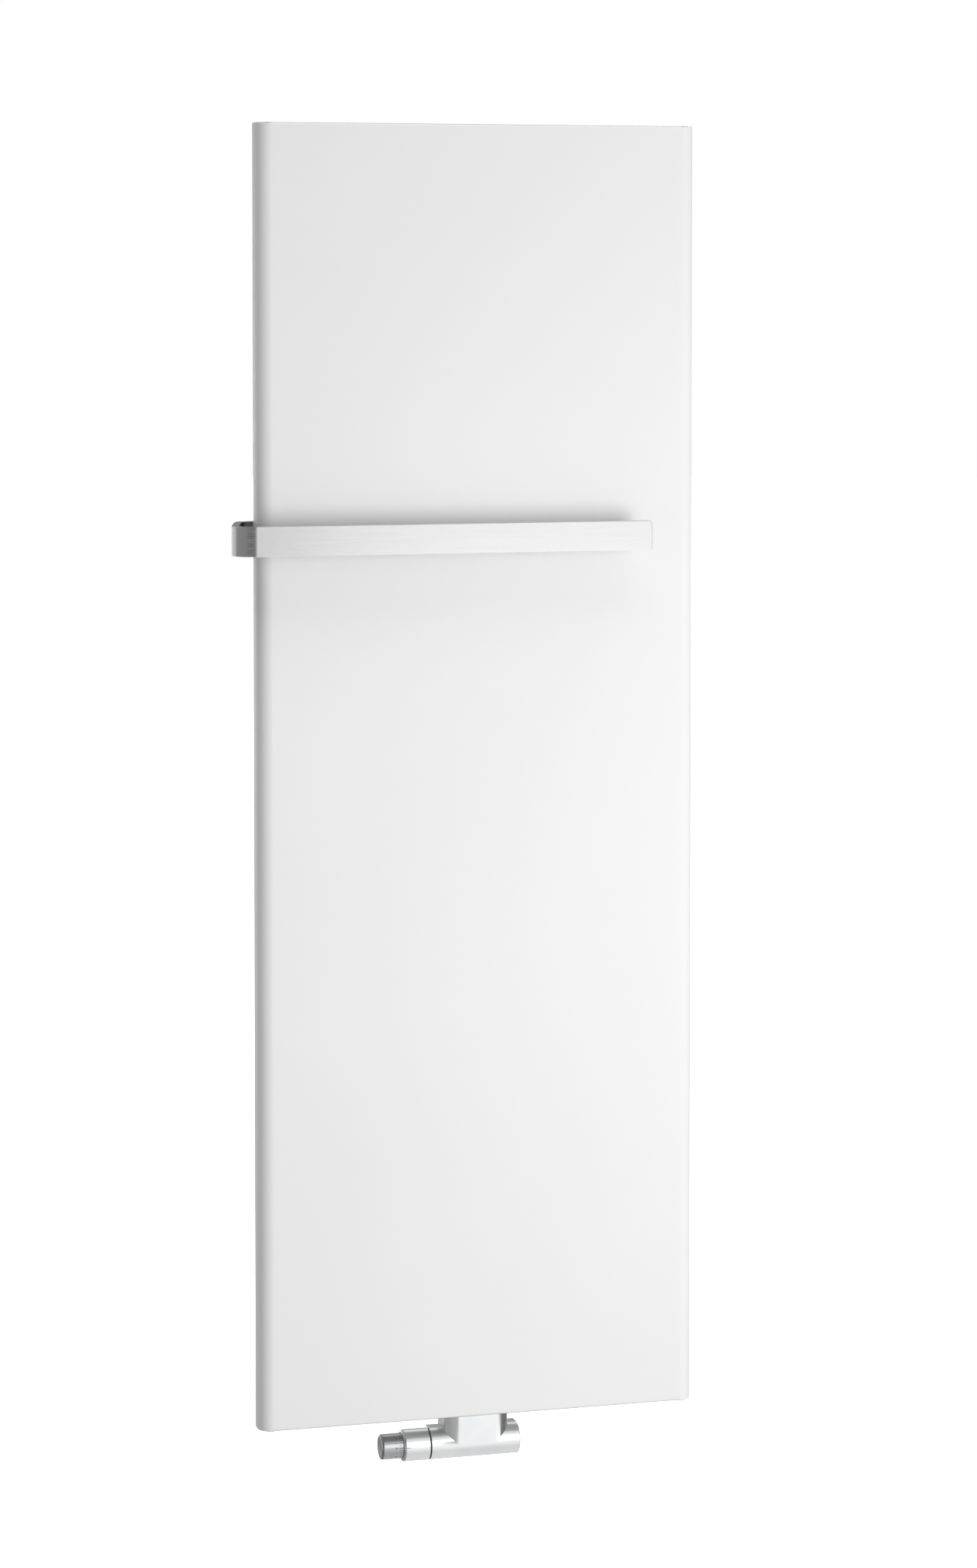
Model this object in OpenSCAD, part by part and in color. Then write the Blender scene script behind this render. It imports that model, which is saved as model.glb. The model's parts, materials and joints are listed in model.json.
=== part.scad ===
// Tall flat steel radiator for a bathroom or hall, hung on a wall, with a hooked towel rail
// and a twin-pipe thermostatic valve under the middle of its lower edge.
// The front faces -Y and the wall is the plane Y = 0. The origin is the middle of the four
// wall screw holes, so the panel's middle height is Z = 0. Millimetres.

/* [Front panel] */
// Width of the front panel
panel_w = 625; // [610:1:680]
// Height of the front panel
panel_h = 1800; // [1640:10:2000]
// Thickness of the front sheet
sheet_t = 2; // [1.5:0.1:2.5]
// Outer radius of the rolled long edges
edge_r = 20; // [16:0.5:22]
// Flat part of the side, behind the rolled edge
edge_flat = 13.5; // [8:0.5:20]
// Depth of the folded flange at the top and the bottom
flange_d = 16; // [8:0.5:16]
// Outer radius of that fold
fold_r = 3; // [2.5:0.1:4]

/* [Water tubes and headers] */
// Gap between two flat water tubes
tube_gap = 3.1; // [2:0.1:8]
// Thickness of a flat water tube
tube_t = 11; // [9:0.5:14]
// Wall of a flat water tube
tube_wall = 1.5; // [1:0.1:2]
// From the panel's end to the closed end of a tube
tube_inset = 12; // [6:1:16]
// Side of the square header tube
header_s = 40; // [36:1:44]
// Wall of the header tube
header_wall = 2; // [1.5:0.1:3]
// Outer corner radius of the header tube
header_corner = 4; // [3:0.5:6]
// From the panel's end to the header
header_inset = 20; // [18:1:26]
// Thickness of a header's end cap
cap_t = 3; // [2:0.5:5]
// Water passage between a tube and a header
port_d = 14; // [8:1:18]
// Thickness of the plate that parts flow and return in the bottom header
divider_t = 2; // [1.5:0.5:4]

/* [Air vent and blind plug] */
// Bore of the screwed sockets
socket_bore = 21; // [20.5:0.1:22]
// Outer diameter of the screwed sockets
socket_d = 29; // [27:0.5:30]
// Height of the two sockets on the top header
vent_socket_h = 9; // [7:0.5:10]
// From a header's end to the middle of such a socket
vent_inset = 41; // [30:1:60]
// Hexagon of the plugs, across flats
plug_af = 24; // [22:0.5:26]
// Height of that hexagon
plug_hex_h = 5; // [4:0.5:6]
// Diameter of the bleed screw
bleed_d = 9; // [7:0.5:10]

/* [Wall fixing] */
// From the back of the headers to the wall
wall_gap = 50; // [45:1:60]
// Height between the upper and lower wall screws
bracket_rise = 1400; // [1000:10:1440]
// Hole for a wall screw
screw_hole_d = 9; // [6:0.5:11]
// Width of a bracket's base plate
base_w = 50; // [40:1:60]
// Height of a bracket's base plate
base_h = 90; // [84:1:110]
// Thickness of a bracket's base plate
base_t = 4; // [3:0.5:6]
// Width of a bracket's arm
arm_w = 20; // [16:1:24]
// Thickness of a bracket's arm
arm_t = 5; // [4:0.5:7]
// From the wall screw down to the top of the arm
arm_drop = 26; // [22:1:30]
// Height of the lip at the end of an arm
lip_h = 12; // [10:0.5:14]
// Depth of a welded hanger lug
lug_d = 30; // [26:1:34]
// Width of a hanger lug
lug_w = 40; // [36:1:50]
// Height of a hanger lug
lug_h = 76; // [72:1:90]
// Sheet of a hanger lug
lug_t = 3; // [2.5:0.5:4]
// Nylon round the web that hangs on an arm
pad_t = 3; // [2:0.5:4]

/* [Towel rail] */
// Height of the flat bar
rail_h = 41; // [30:1:50]
// Thickness of the flat bar
rail_t = 10; // [8:0.5:12]
// From the panel's top down to the middle of the bar
rail_drop = 568; // [300:1:800]
// Gap between the panel's face and the bar
rail_gap = 38; // [30:1:60]
// How far the bar stands out past the panel's left edge
rail_reach = 40.5; // [34:0.5:60]
// From the panel's right edge to the free end
rail_stop = 77.5; // [20:0.5:200]
// Outer radius of both bends
rail_bend_r = 30; // [24:0.5:36]
// How much the return leg leans inwards, in degrees
rail_slant = 14.2; // [0:0.1:20]
// Gap between the rear leg and the wall
rail_wall_gap = 10; // [6:0.5:14]
// Corner radius of the free end
rail_corner_r = 5; // [2:0.5:10]
// Diameter of the two posts that carry the rail
post_d = 20; // [14:0.5:24]
// Diameter of a post's welded foot
post_foot_d = 34; // [28:1:40]
// Thickness of that foot
post_foot_t = 4; // [3:0.5:6]
// Diameter of the rail's countersunk screws
rail_screw_d = 6; // [5:0.5:8]

/* [Valve and cover] */
// Distance between the two pipes
pipe_pitch = 50; // [50:1:54]
// From the panel's lower edge down to the valve's axis
valve_drop = 43; // [43:0.5:46]
// Outer radius of the half-round cover and of the collar
cover_r = 22; // [22:0.25:24]
// Wall of the cover
cover_t = 2; // [1.5:0.1:2]
// Depth of the cover behind the axis
cover_back = 16; // [12:0.5:18]
// Length of the cover left of the middle
cover_left = 66; // [65:0.5:70]
// Length of the cover right of the middle
cover_right = 62; // [58:0.5:70]
// Edge radius of the cover's closed end
cover_edge_r = 1.8; // [1:0.1:2]
// Width of the riser that hides the two unions
riser_w = 96; // [96:1:102]
// Gap between the riser and the panel
riser_gap = 1; // [0.5:0.1:2]
// Radius of the valve body's barrel
barrel_r = 15; // [14.5:0.1:15.4]
// Half length of the barrel
barrel_half = 46; // [46:0.5:48]
// Radius of the pipe threads
pipe_thread_r = 13.2; // [13:0.1:13.4]
// Length of the rear pipe threads
pipe_thread_l = 14; // [12:0.5:16]
// How far the shoulder behind a pipe thread stands past it
shoulder = 1.2; // [0.8:0.1:1.6]
// Water passages in the valve body
bore_r = 6.5; // [5.5:0.1:7]
// Across flats of the union nuts
nut_af = 30; // [29.5:0.1:30.5]
// Height of a union nut
nut_h = 16; // [14:0.5:16]
// Radius of the quarter-turn cock
cock_r = 9; // [8:0.1:9.5]

/* [Thermostatic head] */
// Radius of the knob
knob_r = 17.5; // [17:0.1:18]
// How far the knob stands out of the collar
knob_out = 30.5; // [26:0.5:36]
// Wall of the knob
knob_t = 2; // [1.5:0.1:2.2]
// Edge radius of the knob's end
knob_edge_r = 3; // [1.5:0.1:4]
// Length of the collar
collar_l = 37.7; // [34:0.1:42]
// Edge radius of the collar's mouth
collar_edge_r = 3.5; // [1.5:0.1:4]
// Wall of the collar
collar_t = 1.5; // [1.2:0.1:1.8]
// Black joint between the collar and the cover
joint_gap = 1.8; // [1:0.1:3]
// Radius of the sensor
sensor_r = 11.5; // [10:0.1:12]
// Length of the sensor
sensor_l = 28; // [24:0.5:30]
// Radius of the valve pin
pin_r = 1.75; // [1.5:0.05:2]
// Travel of the pin from the photographed setting to closed
pin_close = 1.5; // [1:0.1:2]

/* [Hidden] */
$fn = 64;

// Small values shared by many pieces
eps = 0.5;           // how far a cutter runs past a face
loose = 0.1;         // clearance all round a piece in its seat
run = 0.06;          // radial clearance of a turning or sliding fit

// Colours
white = [0.93, 0.93, 0.92];
raw_steel = [0.62, 0.63, 0.64];
brushed = [0.72, 0.72, 0.71];
zinc = [0.70, 0.71, 0.72];
nickel = [0.78, 0.76, 0.71];
brass = [0.78, 0.62, 0.33];
chrome = [0.85, 0.86, 0.87];
black = [0.08, 0.08, 0.09];
nylon = [0.90, 0.90, 0.86];

// Levels in depth, from the wall forwards
tube_count = 8;
header_y = -wall_gap - header_s / 2;
tube_back_y = -wall_gap - header_s;
tube_y = tube_back_y - tube_t / 2;
tube_front_y = tube_back_y - tube_t;
panel_y = tube_front_y - sheet_t;

// Levels in height
bottom_z = -panel_h / 2;
top_z = panel_h / 2;
bottom_header_z = bottom_z + header_inset + header_s / 2;
top_header_z = top_z - header_inset - header_s / 2;

tube_pitch = (panel_w - 2 * edge_r) / tube_count;
tube_w = tube_pitch - tube_gap;
header_half = (tube_count - 1) / 2 * tube_pitch + tube_w / 2;
vent_x = header_half - vent_inset;
function tube_x(i) = (i - (tube_count + 1) / 2) * tube_pitch;

// Hanger lugs and brackets
bracket_x = tube_x(7);
lug_back_y = tube_back_y + lug_d;
web_clear = 0.15;
slot_w = arm_w + 6;
slot_h = arm_t + lip_h + pad_t + 8;
pad_floor = 2;
lip_t = 4;
arm_end_y = lug_back_y - lug_t - web_clear - pad_t - lip_t;

// Towel rail
rail_z = top_z - rail_drop;
rail_front_y = panel_y - rail_gap - rail_t;
rail_back_y = -rail_wall_gap;
bend_1 = [-panel_w / 2 - rail_reach + rail_bend_r, rail_front_y + rail_bend_r];
return_l = (rail_back_y - rail_bend_r - bend_1[1]) / cos(rail_slant);
bend_2 = bend_1 + return_l * [sin(rail_slant), cos(rail_slant)];
post_x = [tube_x(1), tube_x(3)];
rail_tail = 20;      // rear leg past the inner post
rail_end_x = panel_w / 2 - rail_stop;

// Valve, in its own frame: X along the axis, +Y to the wall, Z up
axis_y = header_y;
axis_z = bottom_z - valve_drop;
pipe_x = pipe_pitch / 2;
panel_edge = valve_drop;                 // height of the panel's lower edge
flange_z = 28;                           // seat of the unions
nipple_collar_r = 12;
nipple_collar_t = 2.5;
gasket_t = 1.5;
nipple_r = 9;
nipple_z = flange_z + gasket_t;
nut_lip = 3;
nut_top = nipple_z + nipple_collar_t + nut_lip;
socket_z = panel_edge + sheet_t;         // lower end of a connection socket
thread_r = socket_bore / 2 - loose;

// Thermostatic insert and head, along the axis from the barrel's left face
seat_x = -16.3;
seat_r = 5;
cone_t = 3;
cone_x = seat_x - pin_close - 0.2 - cone_t;
insert_r = 9;
insert_end = -34;
chamber_r = 9;
insert_hex_t = 4;
insert_x = -barrel_half - insert_hex_t;
collar_right = -cover_left - joint_gap;
collar_left = collar_right - collar_l;
knob_left = collar_left - knob_out;
knob_skirt = 15;                         // part of the knob inside the collar
guide_r = knob_r - knob_t - 0.2;
base_disc_t = 4;
neck_r = 11.8;
neck_end = -57;
sensor_x = knob_left + 6;
pusher_r = 3;
pusher_x = -64;

// Rods and rings along an axis

module rod_x(x0, x1, r) {
    translate([x0, 0, 0]) rotate([0, 90, 0]) cylinder(h = x1 - x0, r = r);
}

module rod_y(y0, y1, r) {
    translate([0, y1, 0]) rotate([90, 0, 0]) cylinder(h = y1 - y0, r = r);
}

module rod_z(z0, z1, r) {
    translate([0, 0, z0]) cylinder(h = z1 - z0, r = r);
}

module box(x0, x1, y0, y1, z0, z1) {
    translate([x0, y0, z0]) cube([x1 - x0, y1 - y0, z1 - z0]);
}

// A rectangle with true arcs at its corners
module rounded_rect(w, h, r) {
    square([w - 2 * r, h], center = true);
    square([w, h - 2 * r], center = true);
    for (x = [-1, 1], y = [-1, 1])
        translate([x * (w / 2 - r), y * (h / 2 - r)]) circle(r);
}

module hexagon(af, h) {
    cylinder(h = h, r = af / sqrt(3), $fn = 6);
}

module at_valve() {
    translate([0, axis_y, axis_z]) children();
}

// Front panel

// Plan of the sheet: flat front, two rolled edges and two short flat sides
module pan_plan(inset, past) {
    r = edge_r - inset;
    half = panel_w / 2 - edge_r;
    depth = edge_r + edge_flat + past;
    intersection() {
        union() {
            translate([-half, inset]) square([2 * half, depth]);
            translate([-half - r, edge_r]) square([2 * (half + r), depth]);
            for (side = [-1, 1]) translate([side * half, edge_r]) circle(r);
        }
        translate([-panel_w / 2, 0]) square([panel_w, depth]);
    }
}

module panel_shell() {
    translate([0, panel_y, bottom_z]) linear_extrude(panel_h) difference() {
        pan_plan(0, 0);
        pan_plan(sheet_t, eps);
    }
}

// Folded flange along one end: side view in Y and Z, with its bend
module fold_section() {
    difference() {
        union() {
            translate([fold_r, 0]) square([flange_d - fold_r, sheet_t]);
            translate([0, fold_r]) square([sheet_t, eps]);
            intersection() {
                translate([fold_r, fold_r]) circle(fold_r);
                square(fold_r);
            }
        }
        translate([fold_r, fold_r]) circle(fold_r - sheet_t);
    }
}

module fold(width) {
    rotate([90, 0, 90]) linear_extrude(width, center = true) fold_section();
}

module front_panel() {
    half = panel_w / 2 - edge_r;
    color(white) {
        difference() {
            panel_shell();
            for (z = [bottom_z, top_z - fold_r])
                box(-half, half, panel_y - eps, panel_y + sheet_t + eps,
                    z - (z == bottom_z ? eps : 0), z + fold_r + (z == bottom_z ? 0 : eps));
        }
        translate([0, panel_y, bottom_z]) fold(2 * half);
        translate([0, panel_y, top_z]) mirror([0, 0, 1]) fold(2 * half);
    }
}

// Water tubes and headers

module stadium(w, t) {
    square([w - t, t], center = true);
    for (side = [-1, 1]) translate([side * (w - t) / 2, 0]) circle(t / 2);
}

module water_tube(i) {
    length = panel_h - 2 * tube_inset;
    color(white) translate([tube_x(i), 0, 0]) difference() {
        translate([0, tube_y, -length / 2]) linear_extrude(length) stadium(tube_w, tube_t);
        translate([0, tube_y, -length / 2 + 2 * tube_wall])
            linear_extrude(length - 4 * tube_wall)
                stadium(tube_w - 2 * tube_wall, tube_t - 2 * tube_wall);
        for (z = [bottom_header_z, top_header_z])
            translate([0, 0, z]) rod_y(tube_y, tube_back_y + eps, port_d / 2);
    }
}

// A square header, with a passage to each tube and round holes for its sockets
module header(z, socket_xs, side) {
    color(white) translate([0, header_y, z]) difference() {
        rotate([90, 0, 90]) linear_extrude(2 * header_half, center = true) difference() {
            rounded_rect(header_s, header_s, header_corner);
            rounded_rect(header_s - 2 * header_wall, header_s - 2 * header_wall,
                header_corner - header_wall);
        }
        for (i = [1 : tube_count])
            translate([tube_x(i), 0, 0])
                rod_y(-header_s / 2 - eps, -header_s / 2 + header_wall + eps, port_d / 2);
        for (x = socket_xs)
            translate([x, 0, 0]) mirror([0, 0, side < 0 ? 1 : 0])
                rod_z(header_s / 2 - header_wall - eps, header_s / 2 + eps, socket_bore / 2);
    }
}

module bottom_header() {
    header(bottom_header_z, [-pipe_x, pipe_x], -1);
}

module top_header() {
    header(top_header_z, [-vent_x, vent_x], 1);
}

module header_end_caps() {
    color(white) for (z = [bottom_header_z, top_header_z], side = [-1, 1])
        translate([side * (header_half + cap_t / 2), header_y, z]) rotate([90, 0, 90])
            linear_extrude(cap_t, center = true) rounded_rect(header_s, header_s, header_corner);
}

module flow_divider() {
    inside = header_s - 2 * header_wall - 2 * loose;
    color(raw_steel) translate([0, header_y, bottom_header_z]) rotate([90, 0, 90])
        linear_extrude(divider_t, center = true)
            rounded_rect(inside, inside, header_corner - header_wall);
}

// Screwed socket under the bottom header, for one of the two unions
module connection_socket(side) {
    color(white) translate([side * pipe_x, axis_y, axis_z]) difference() {
        rod_z(socket_z, valve_drop + header_inset, socket_d / 2);
        rod_z(socket_z - eps, valve_drop + header_inset + eps, socket_bore / 2);
    }
}

module vent_sockets() {
    z = top_z - header_inset;
    color(white) for (x = [-vent_x, vent_x]) translate([x, header_y, z]) difference() {
        rod_z(0, vent_socket_h, socket_d / 2);
        rod_z(-eps, vent_socket_h + eps, socket_bore / 2);
    }
}

// Screwed plug: thread, groove for its seal and hexagon
module plug(thread_l) {
    rod_z(-thread_l, 0, thread_r);
    hexagon(plug_af, plug_hex_h);
}

plug_z = top_z - header_inset + vent_socket_h + 1;   // under the hexagon
seal_wire = 1;                                       // height of the seal under a plug
bleed_top = plug_hex_h + 3;

module vent_plug() {
    color(nickel) translate([vent_x, header_y, plug_z]) difference() {
        plug(8);
        rod_z(-8 - eps, plug_hex_h + eps, 1.5);
        rod_z(-3, plug_hex_h + eps, bleed_d / 2 + run);
        translate([0, -plug_af / 2, plug_hex_h / 2]) rod_y(-eps, plug_af / 2, 1);
    }
}

module bleed_screw() {
    color(brass) translate([vent_x, header_y, plug_z]) {
        rod_z(-2.8, plug_hex_h - 1, bleed_d / 2);
        rod_z(plug_hex_h - 1, plug_hex_h + 0.5, bleed_d / 2 - 0.6);
        translate([-2.5, -2.5, plug_hex_h]) cube([5, 5, bleed_top - plug_hex_h]);
    }
}

module blind_plug() {
    color(nickel) translate([-vent_x, header_y, plug_z]) difference() {
        plug(8);
        translate([0, 0, plug_hex_h - 3]) hexagon(8, 3 + eps);
    }
}

module plug_seals() {
    color(black) for (x = [-vent_x, vent_x]) translate([x, header_y, plug_z - seal_wire])
        difference() {
            rod_z(0, seal_wire, socket_bore / 2 + 1);
            rod_z(-eps, seal_wire + eps, thread_r + loose);
        }
}

// Wall fixing

module for_brackets() {
    for (x = [-bracket_x, bracket_x], z = [-bracket_rise / 2, bracket_rise / 2])
        translate([x, 0, z]) children();
}

// Channel welded to the back of a tube, with a slot for the arm of a bracket
module hanger_lug() {
    top = -arm_drop + pad_floor;
    difference() {
        box(-lug_w / 2, lug_w / 2, tube_back_y, lug_back_y, top - lug_h / 2 - 8, top + lug_h / 2 - 8);
        box(-lug_w / 2 + lug_t, lug_w / 2 - lug_t, tube_back_y - eps, lug_back_y - lug_t,
            top - lug_h, top + lug_h);
        box(-slot_w / 2, slot_w / 2, lug_back_y - lug_t - eps, lug_back_y + eps,
            top - slot_h, top);
    }
}

module hanger_lugs() {
    color(white) for_brackets() hanger_lug();
}

// Base plate on the wall, arm through the lug's slot, lip and two stiffening ribs
module bracket() {
    top = -arm_drop;
    rib = 14;
    color(zinc) difference() {
        union() {
            rotate([90, 0, 0]) linear_extrude(base_t) rounded_rect(base_w, base_h, 6);
            box(-arm_w / 2, arm_w / 2, arm_end_y, -base_t, top - arm_t, top);
            box(-arm_w / 2, arm_w / 2, arm_end_y, arm_end_y + lip_t, top, top + lip_h);
            for (side = [-1, 1]) translate([side * (arm_w / 2 - 1.5), -base_t, top - arm_t])
                rotate([0, 90, 0]) linear_extrude(3, center = true)
                    polygon([[0, 0], [rib, 0], [0, -rib]]);
        }
        rod_y(-base_t - eps, eps, screw_hole_d / 2);
    }
}

module bracket_at(side_x, side_z) {
    translate([side_x * bracket_x, 0, side_z * bracket_rise / 2]) bracket();
}

// Nylon saddle on the arm, with a groove for the lug's web
module bracket_pads() {
    y0 = arm_end_y + lip_t;
    y1 = lug_back_y + web_clear + pad_t;
    color(nylon) for_brackets() difference() {
        box(-arm_w / 2, arm_w / 2, y0, y1, -arm_drop, -arm_drop + pad_floor + 5);
        box(-arm_w, arm_w, lug_back_y - lug_t - web_clear, lug_back_y + web_clear,
            -arm_drop + pad_floor, -arm_drop + pad_floor + 5 + eps);
    }
}

// Towel rail

// Seen from above, all that lies inside the bar's outer face or inside its inner face
module rail_side(r, front_x, rear_x) {
    flat = r * [-cos(rail_slant), sin(rail_slant)];
    for (centre = [bend_1, bend_2])
        translate(centre) circle(r);
    polygon([
        [front_x, bend_1[1] - r], bend_1 - [0, r], bend_1 + flat, bend_2 + flat,
        bend_2 + [0, r], [rear_x, bend_2[1] + r], [rear_x, header_y], [front_x, header_y]
    ]);
}

// Free end of the front leg, with its corners rounded
module rail_end() {
    r = rail_corner_r;
    translate([0, rail_front_y + rail_t, 0]) rotate([90, 0, 0]) linear_extrude(rail_t) {
        translate([rail_end_x - 4 * r, -rail_h / 2]) square([3 * r, rail_h]);
        translate([rail_end_x - 2 * r, -rail_h / 2 + r]) square([2 * r, rail_h - 2 * r]);
        for (side = [-1, 1])
            translate([rail_end_x - r, side * (rail_h / 2 - r)]) circle(r);
    }
}

// Countersunk hole through the rear leg
module countersink(gap) {
    head = rail_screw_d;
    rod_y(rail_back_y - rail_t - eps, rail_back_y + eps, rail_screw_d / 2 + gap);
    translate([0, rail_back_y, 0]) rotate([90, 0, 0])
        cylinder(h = head / 2 + gap, r1 = head + gap, r2 = rail_screw_d / 2);
}

module towel_rail() {
    color(brushed) translate([0, 0, rail_z]) difference() {
        union() {
            linear_extrude(rail_h, center = true) difference() {
                rail_side(rail_bend_r, rail_end_x - 2 * rail_corner_r, post_x[1] + rail_tail);
                rail_side(rail_bend_r - rail_t, rail_end_x, rail_end_x);
            }
            rail_end();
        }
        for (x = post_x) translate([x, 0, 0]) countersink(loose);
    }
}

// Turned post with a welded foot, from a water tube to the rail's rear leg
module rail_post(x) {
    tip_y = rail_back_y - rail_t;
    color(white) translate([x, 0, rail_z]) difference() {
        union() {
            rod_y(tube_back_y, tube_back_y + post_foot_t, post_foot_d / 2);
            rod_y(tube_back_y, tip_y, post_d / 2);
        }
        rod_y(tip_y - 20, tip_y + eps, rail_screw_d / 2 + loose);
    }
}

module rail_screws() {
    length = rail_t + 16;
    color(zinc) for (x = post_x) translate([x, 0, rail_z]) difference() {
        union() {
            rod_y(rail_back_y - length, rail_back_y - rail_screw_d / 2, rail_screw_d / 2);
            translate([0, rail_back_y, 0]) rotate([90, 0, 0])
                cylinder(h = rail_screw_d / 2, r1 = rail_screw_d, r2 = rail_screw_d / 2);
        }
        translate([0, rail_back_y + eps, 0]) rotate([90, 0, 0]) hexagon(4, 2 + eps);
    }
}

// Valve body: barrel, two union threads up, two pipe threads to the wall, and the water ways

module valve_body() {
    shoulder_y = barrel_r + eps;
    pipe_end = shoulder_y + pipe_thread_l;
    gallery_z = 13.5;
    gallery_r = 3.5;
    after_seat = -8;
    color(nickel) at_valve() difference() {
        union() {
            rod_x(-barrel_half, barrel_half, barrel_r);
            box(-pipe_x, pipe_x, -10, 10, 0, gallery_z + gallery_r + 1);
            for (side = [-1, 1]) translate([side * pipe_x, 0, 0]) {
                rod_z(0, flange_z, pipe_thread_r);
                rod_y(0, shoulder_y, pipe_thread_r + shoulder);
                rod_y(0, pipe_end, pipe_thread_r);
            }
        }
        // left: bore for the insert, chamber, seat and the gallery up to the supply union
        rod_x(-barrel_half - eps, insert_end, insert_r + loose / 2);
        rod_x(insert_end - eps, seat_x, chamber_r);
        rod_x(seat_x - eps, after_seat, seat_r);
        translate([after_seat - seat_r, 0, 0]) rod_z(0, gallery_z, gallery_r);
        translate([0, 0, gallery_z]) rod_x(-pipe_x, after_seat - seat_r + gallery_r, gallery_r);
        translate([-pipe_x, 0, 0]) rod_z(chamber_r + 2, flange_z + eps, bore_r);
        // right: bore for the cock, open to the front, and the way up to the return union
        translate([pipe_x, 0, 0]) {
            rod_y(-barrel_r - eps, cock_r, cock_r + run);
            rod_z(0, flange_z + eps, bore_r);
        }
        // pipe threads with their inner cones
        for (side = [-1, 1]) translate([side * pipe_x, 0, 0]) {
            rod_y(0, pipe_end + eps, bore_r);
            translate([0, pipe_end + eps, 0]) rotate([90, 0, 0])
                cylinder(h = 6, r1 = bore_r + 3, r2 = bore_r);
        }
    }
}

// Union nipple: collar under the nut, neck, ring to stop it and thread in the header's socket
module union_nipple(side) {
    color(nickel) translate([side * pipe_x, axis_y, axis_z]) difference() {
        union() {
            rod_z(nipple_z, nipple_z + nipple_collar_t, nipple_collar_r);
            rod_z(nipple_z, socket_z, nipple_r);
            rod_z(socket_z - 5, socket_z - 1, thread_r + 2);
            rod_z(socket_z - 1, socket_z + 13, thread_r);
        }
        rod_z(nipple_z - eps, socket_z + 13 + eps, bore_r);
    }
}

module union_nut(side) {
    color(nickel) translate([side * pipe_x, axis_y, axis_z]) difference() {
        translate([0, 0, nut_top - nut_h]) hexagon(nut_af, nut_h);
        rod_z(nut_top - nut_h - eps, nut_top - nut_lip, pipe_thread_r + loose);
        rod_z(nut_top - nut_lip - eps, nut_top + eps, nipple_r + loose);
    }
}

module union_gaskets() {
    color(black) for (side = [-1, 1]) translate([side * pipe_x, axis_y, axis_z]) difference() {
        rod_z(flange_z, flange_z + gasket_t, nipple_collar_r);
        rod_z(flange_z - eps, flange_z + gasket_t + eps, bore_r);
    }
}

// Quarter-turn cock with an angled water way, its gland and its seal

cock_front = -cock_r + 0.5;
stem_r = 4;
gland_front = -barrel_r - 1.8;

module return_cock() {
    slot = 1.2;
    color(brass) at_valve() translate([pipe_x, 0, 0]) difference() {
        union() {
            rod_y(cock_front, cock_r - loose, cock_r);
            rod_y(gland_front - 0.8, cock_front, stem_r);
        }
        rod_y(0, cock_r + eps, bore_r - 1);
        rod_z(0, cock_r + eps, bore_r - 1);
        sphere(bore_r - 1);
        box(-stem_r, stem_r, gland_front - 0.8 - eps, gland_front + 1, -slot / 2, slot / 2);
    }
}

module cock_gland() {
    color(nickel) at_valve() translate([pipe_x, 0, 0]) difference() {
        rod_y(gland_front, cock_front - 1.5, cock_r - loose);
        rod_y(gland_front - eps, cock_front - 1.5 + eps, stem_r + run);
    }
}

module cock_seal() {
    color(black) at_valve() translate([pipe_x, (cock_front - 0.75), 0]) rotate([90, 0, 0])
        rotate_extrude() translate([stem_r + run + 0.7, 0]) circle(0.65, $fn = 24);
}

// Thermostatic insert: hexagon outside the barrel, thread inside it, guide for the pin

module valve_insert() {
    color(brass) at_valve() difference() {
        union() {
            rod_x(insert_x - 6, insert_x, 5);
            translate([insert_x, 0, 0]) rotate([0, 90, 0]) hexagon(20, insert_hex_t - 1);
            rod_x(insert_x + insert_hex_t - 1, insert_end, insert_r);
        }
        rod_x(insert_x - 6 - eps, insert_end + eps, pin_r + run);
        rod_x(insert_end - 8, insert_end + eps, 6);
    }
}

module insert_seal() {
    color(black) at_valve() difference() {
        rod_x(-barrel_half - 1, -barrel_half, insert_r + 2);
        rod_x(-barrel_half - 1 - eps, -barrel_half + eps, insert_r + loose);
    }
}

// Moving pin with its cone, held open by a coil spring

spring_x0 = insert_end - 8 + 0.2;
spring_r = 4.6;
spring_wire = 0.55;

module valve_pin() {
    color(raw_steel) at_valve() {
        rod_x(pusher_x, cone_x, pin_r);
        rod_x(cone_x - 1, cone_x + 0.8, 6.4);
        rod_x(cone_x + 0.8, cone_x + cone_t, 2.4);
    }
}

module cone_seal() {
    color(black) at_valve() difference() {
        rod_x(cone_x + 0.8, cone_x + cone_t, 6.4);
        rod_x(cone_x + 0.8 - eps, cone_x + cone_t + eps, 2.4 + run);
    }
}

// One closed tube swept along a helix between the insert and the cone
module pin_spring() {
    turns = 5;
    steps = 16 * turns;
    sides = 8;
    x1 = cone_x - 1 - spring_wire - 0.1;
    x0 = spring_x0 + spring_wire;
    points = [for (i = [0 : steps], j = [0 : sides - 1])
        let (a = i * 360 / 16, b = j * 360 / sides,
             r = spring_r + spring_wire * cos(b))
        [x0 + (x1 - x0) * i / steps + spring_wire * sin(b), r * cos(a), r * sin(a)]];
    walls = [for (i = [0 : steps - 1], j = [0 : sides - 1])
        let (k = (j + 1) % sides)
        [i * sides + j, i * sides + k, (i + 1) * sides + k, (i + 1) * sides + j]];
    first = [for (j = [sides - 1 : -1 : 0]) j];
    last = [for (j = [0 : sides - 1]) steps * sides + j];
    color(zinc) at_valve() polyhedron(points, concat([first, last], walls), convexity = 10);
}

// Thermostatic head

module head_union_nut() {
    nut_x = -62;
    color(nickel) at_valve() difference() {
        union() {
            rod_x(nut_x, nut_x + 22, barrel_r + 2.2);
            for (a = [0 : 15 : 345]) rotate([a, 0, 0]) translate([0, 0, barrel_r + 2.2])
                rod_x(nut_x + 2, nut_x + 20, 0.6);
        }
        rod_x(nut_x + 2, nut_x + 22 + eps, barrel_r + loose);
        rod_x(nut_x - eps, nut_x + 2 + eps, neck_r + loose);
    }
}

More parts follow.
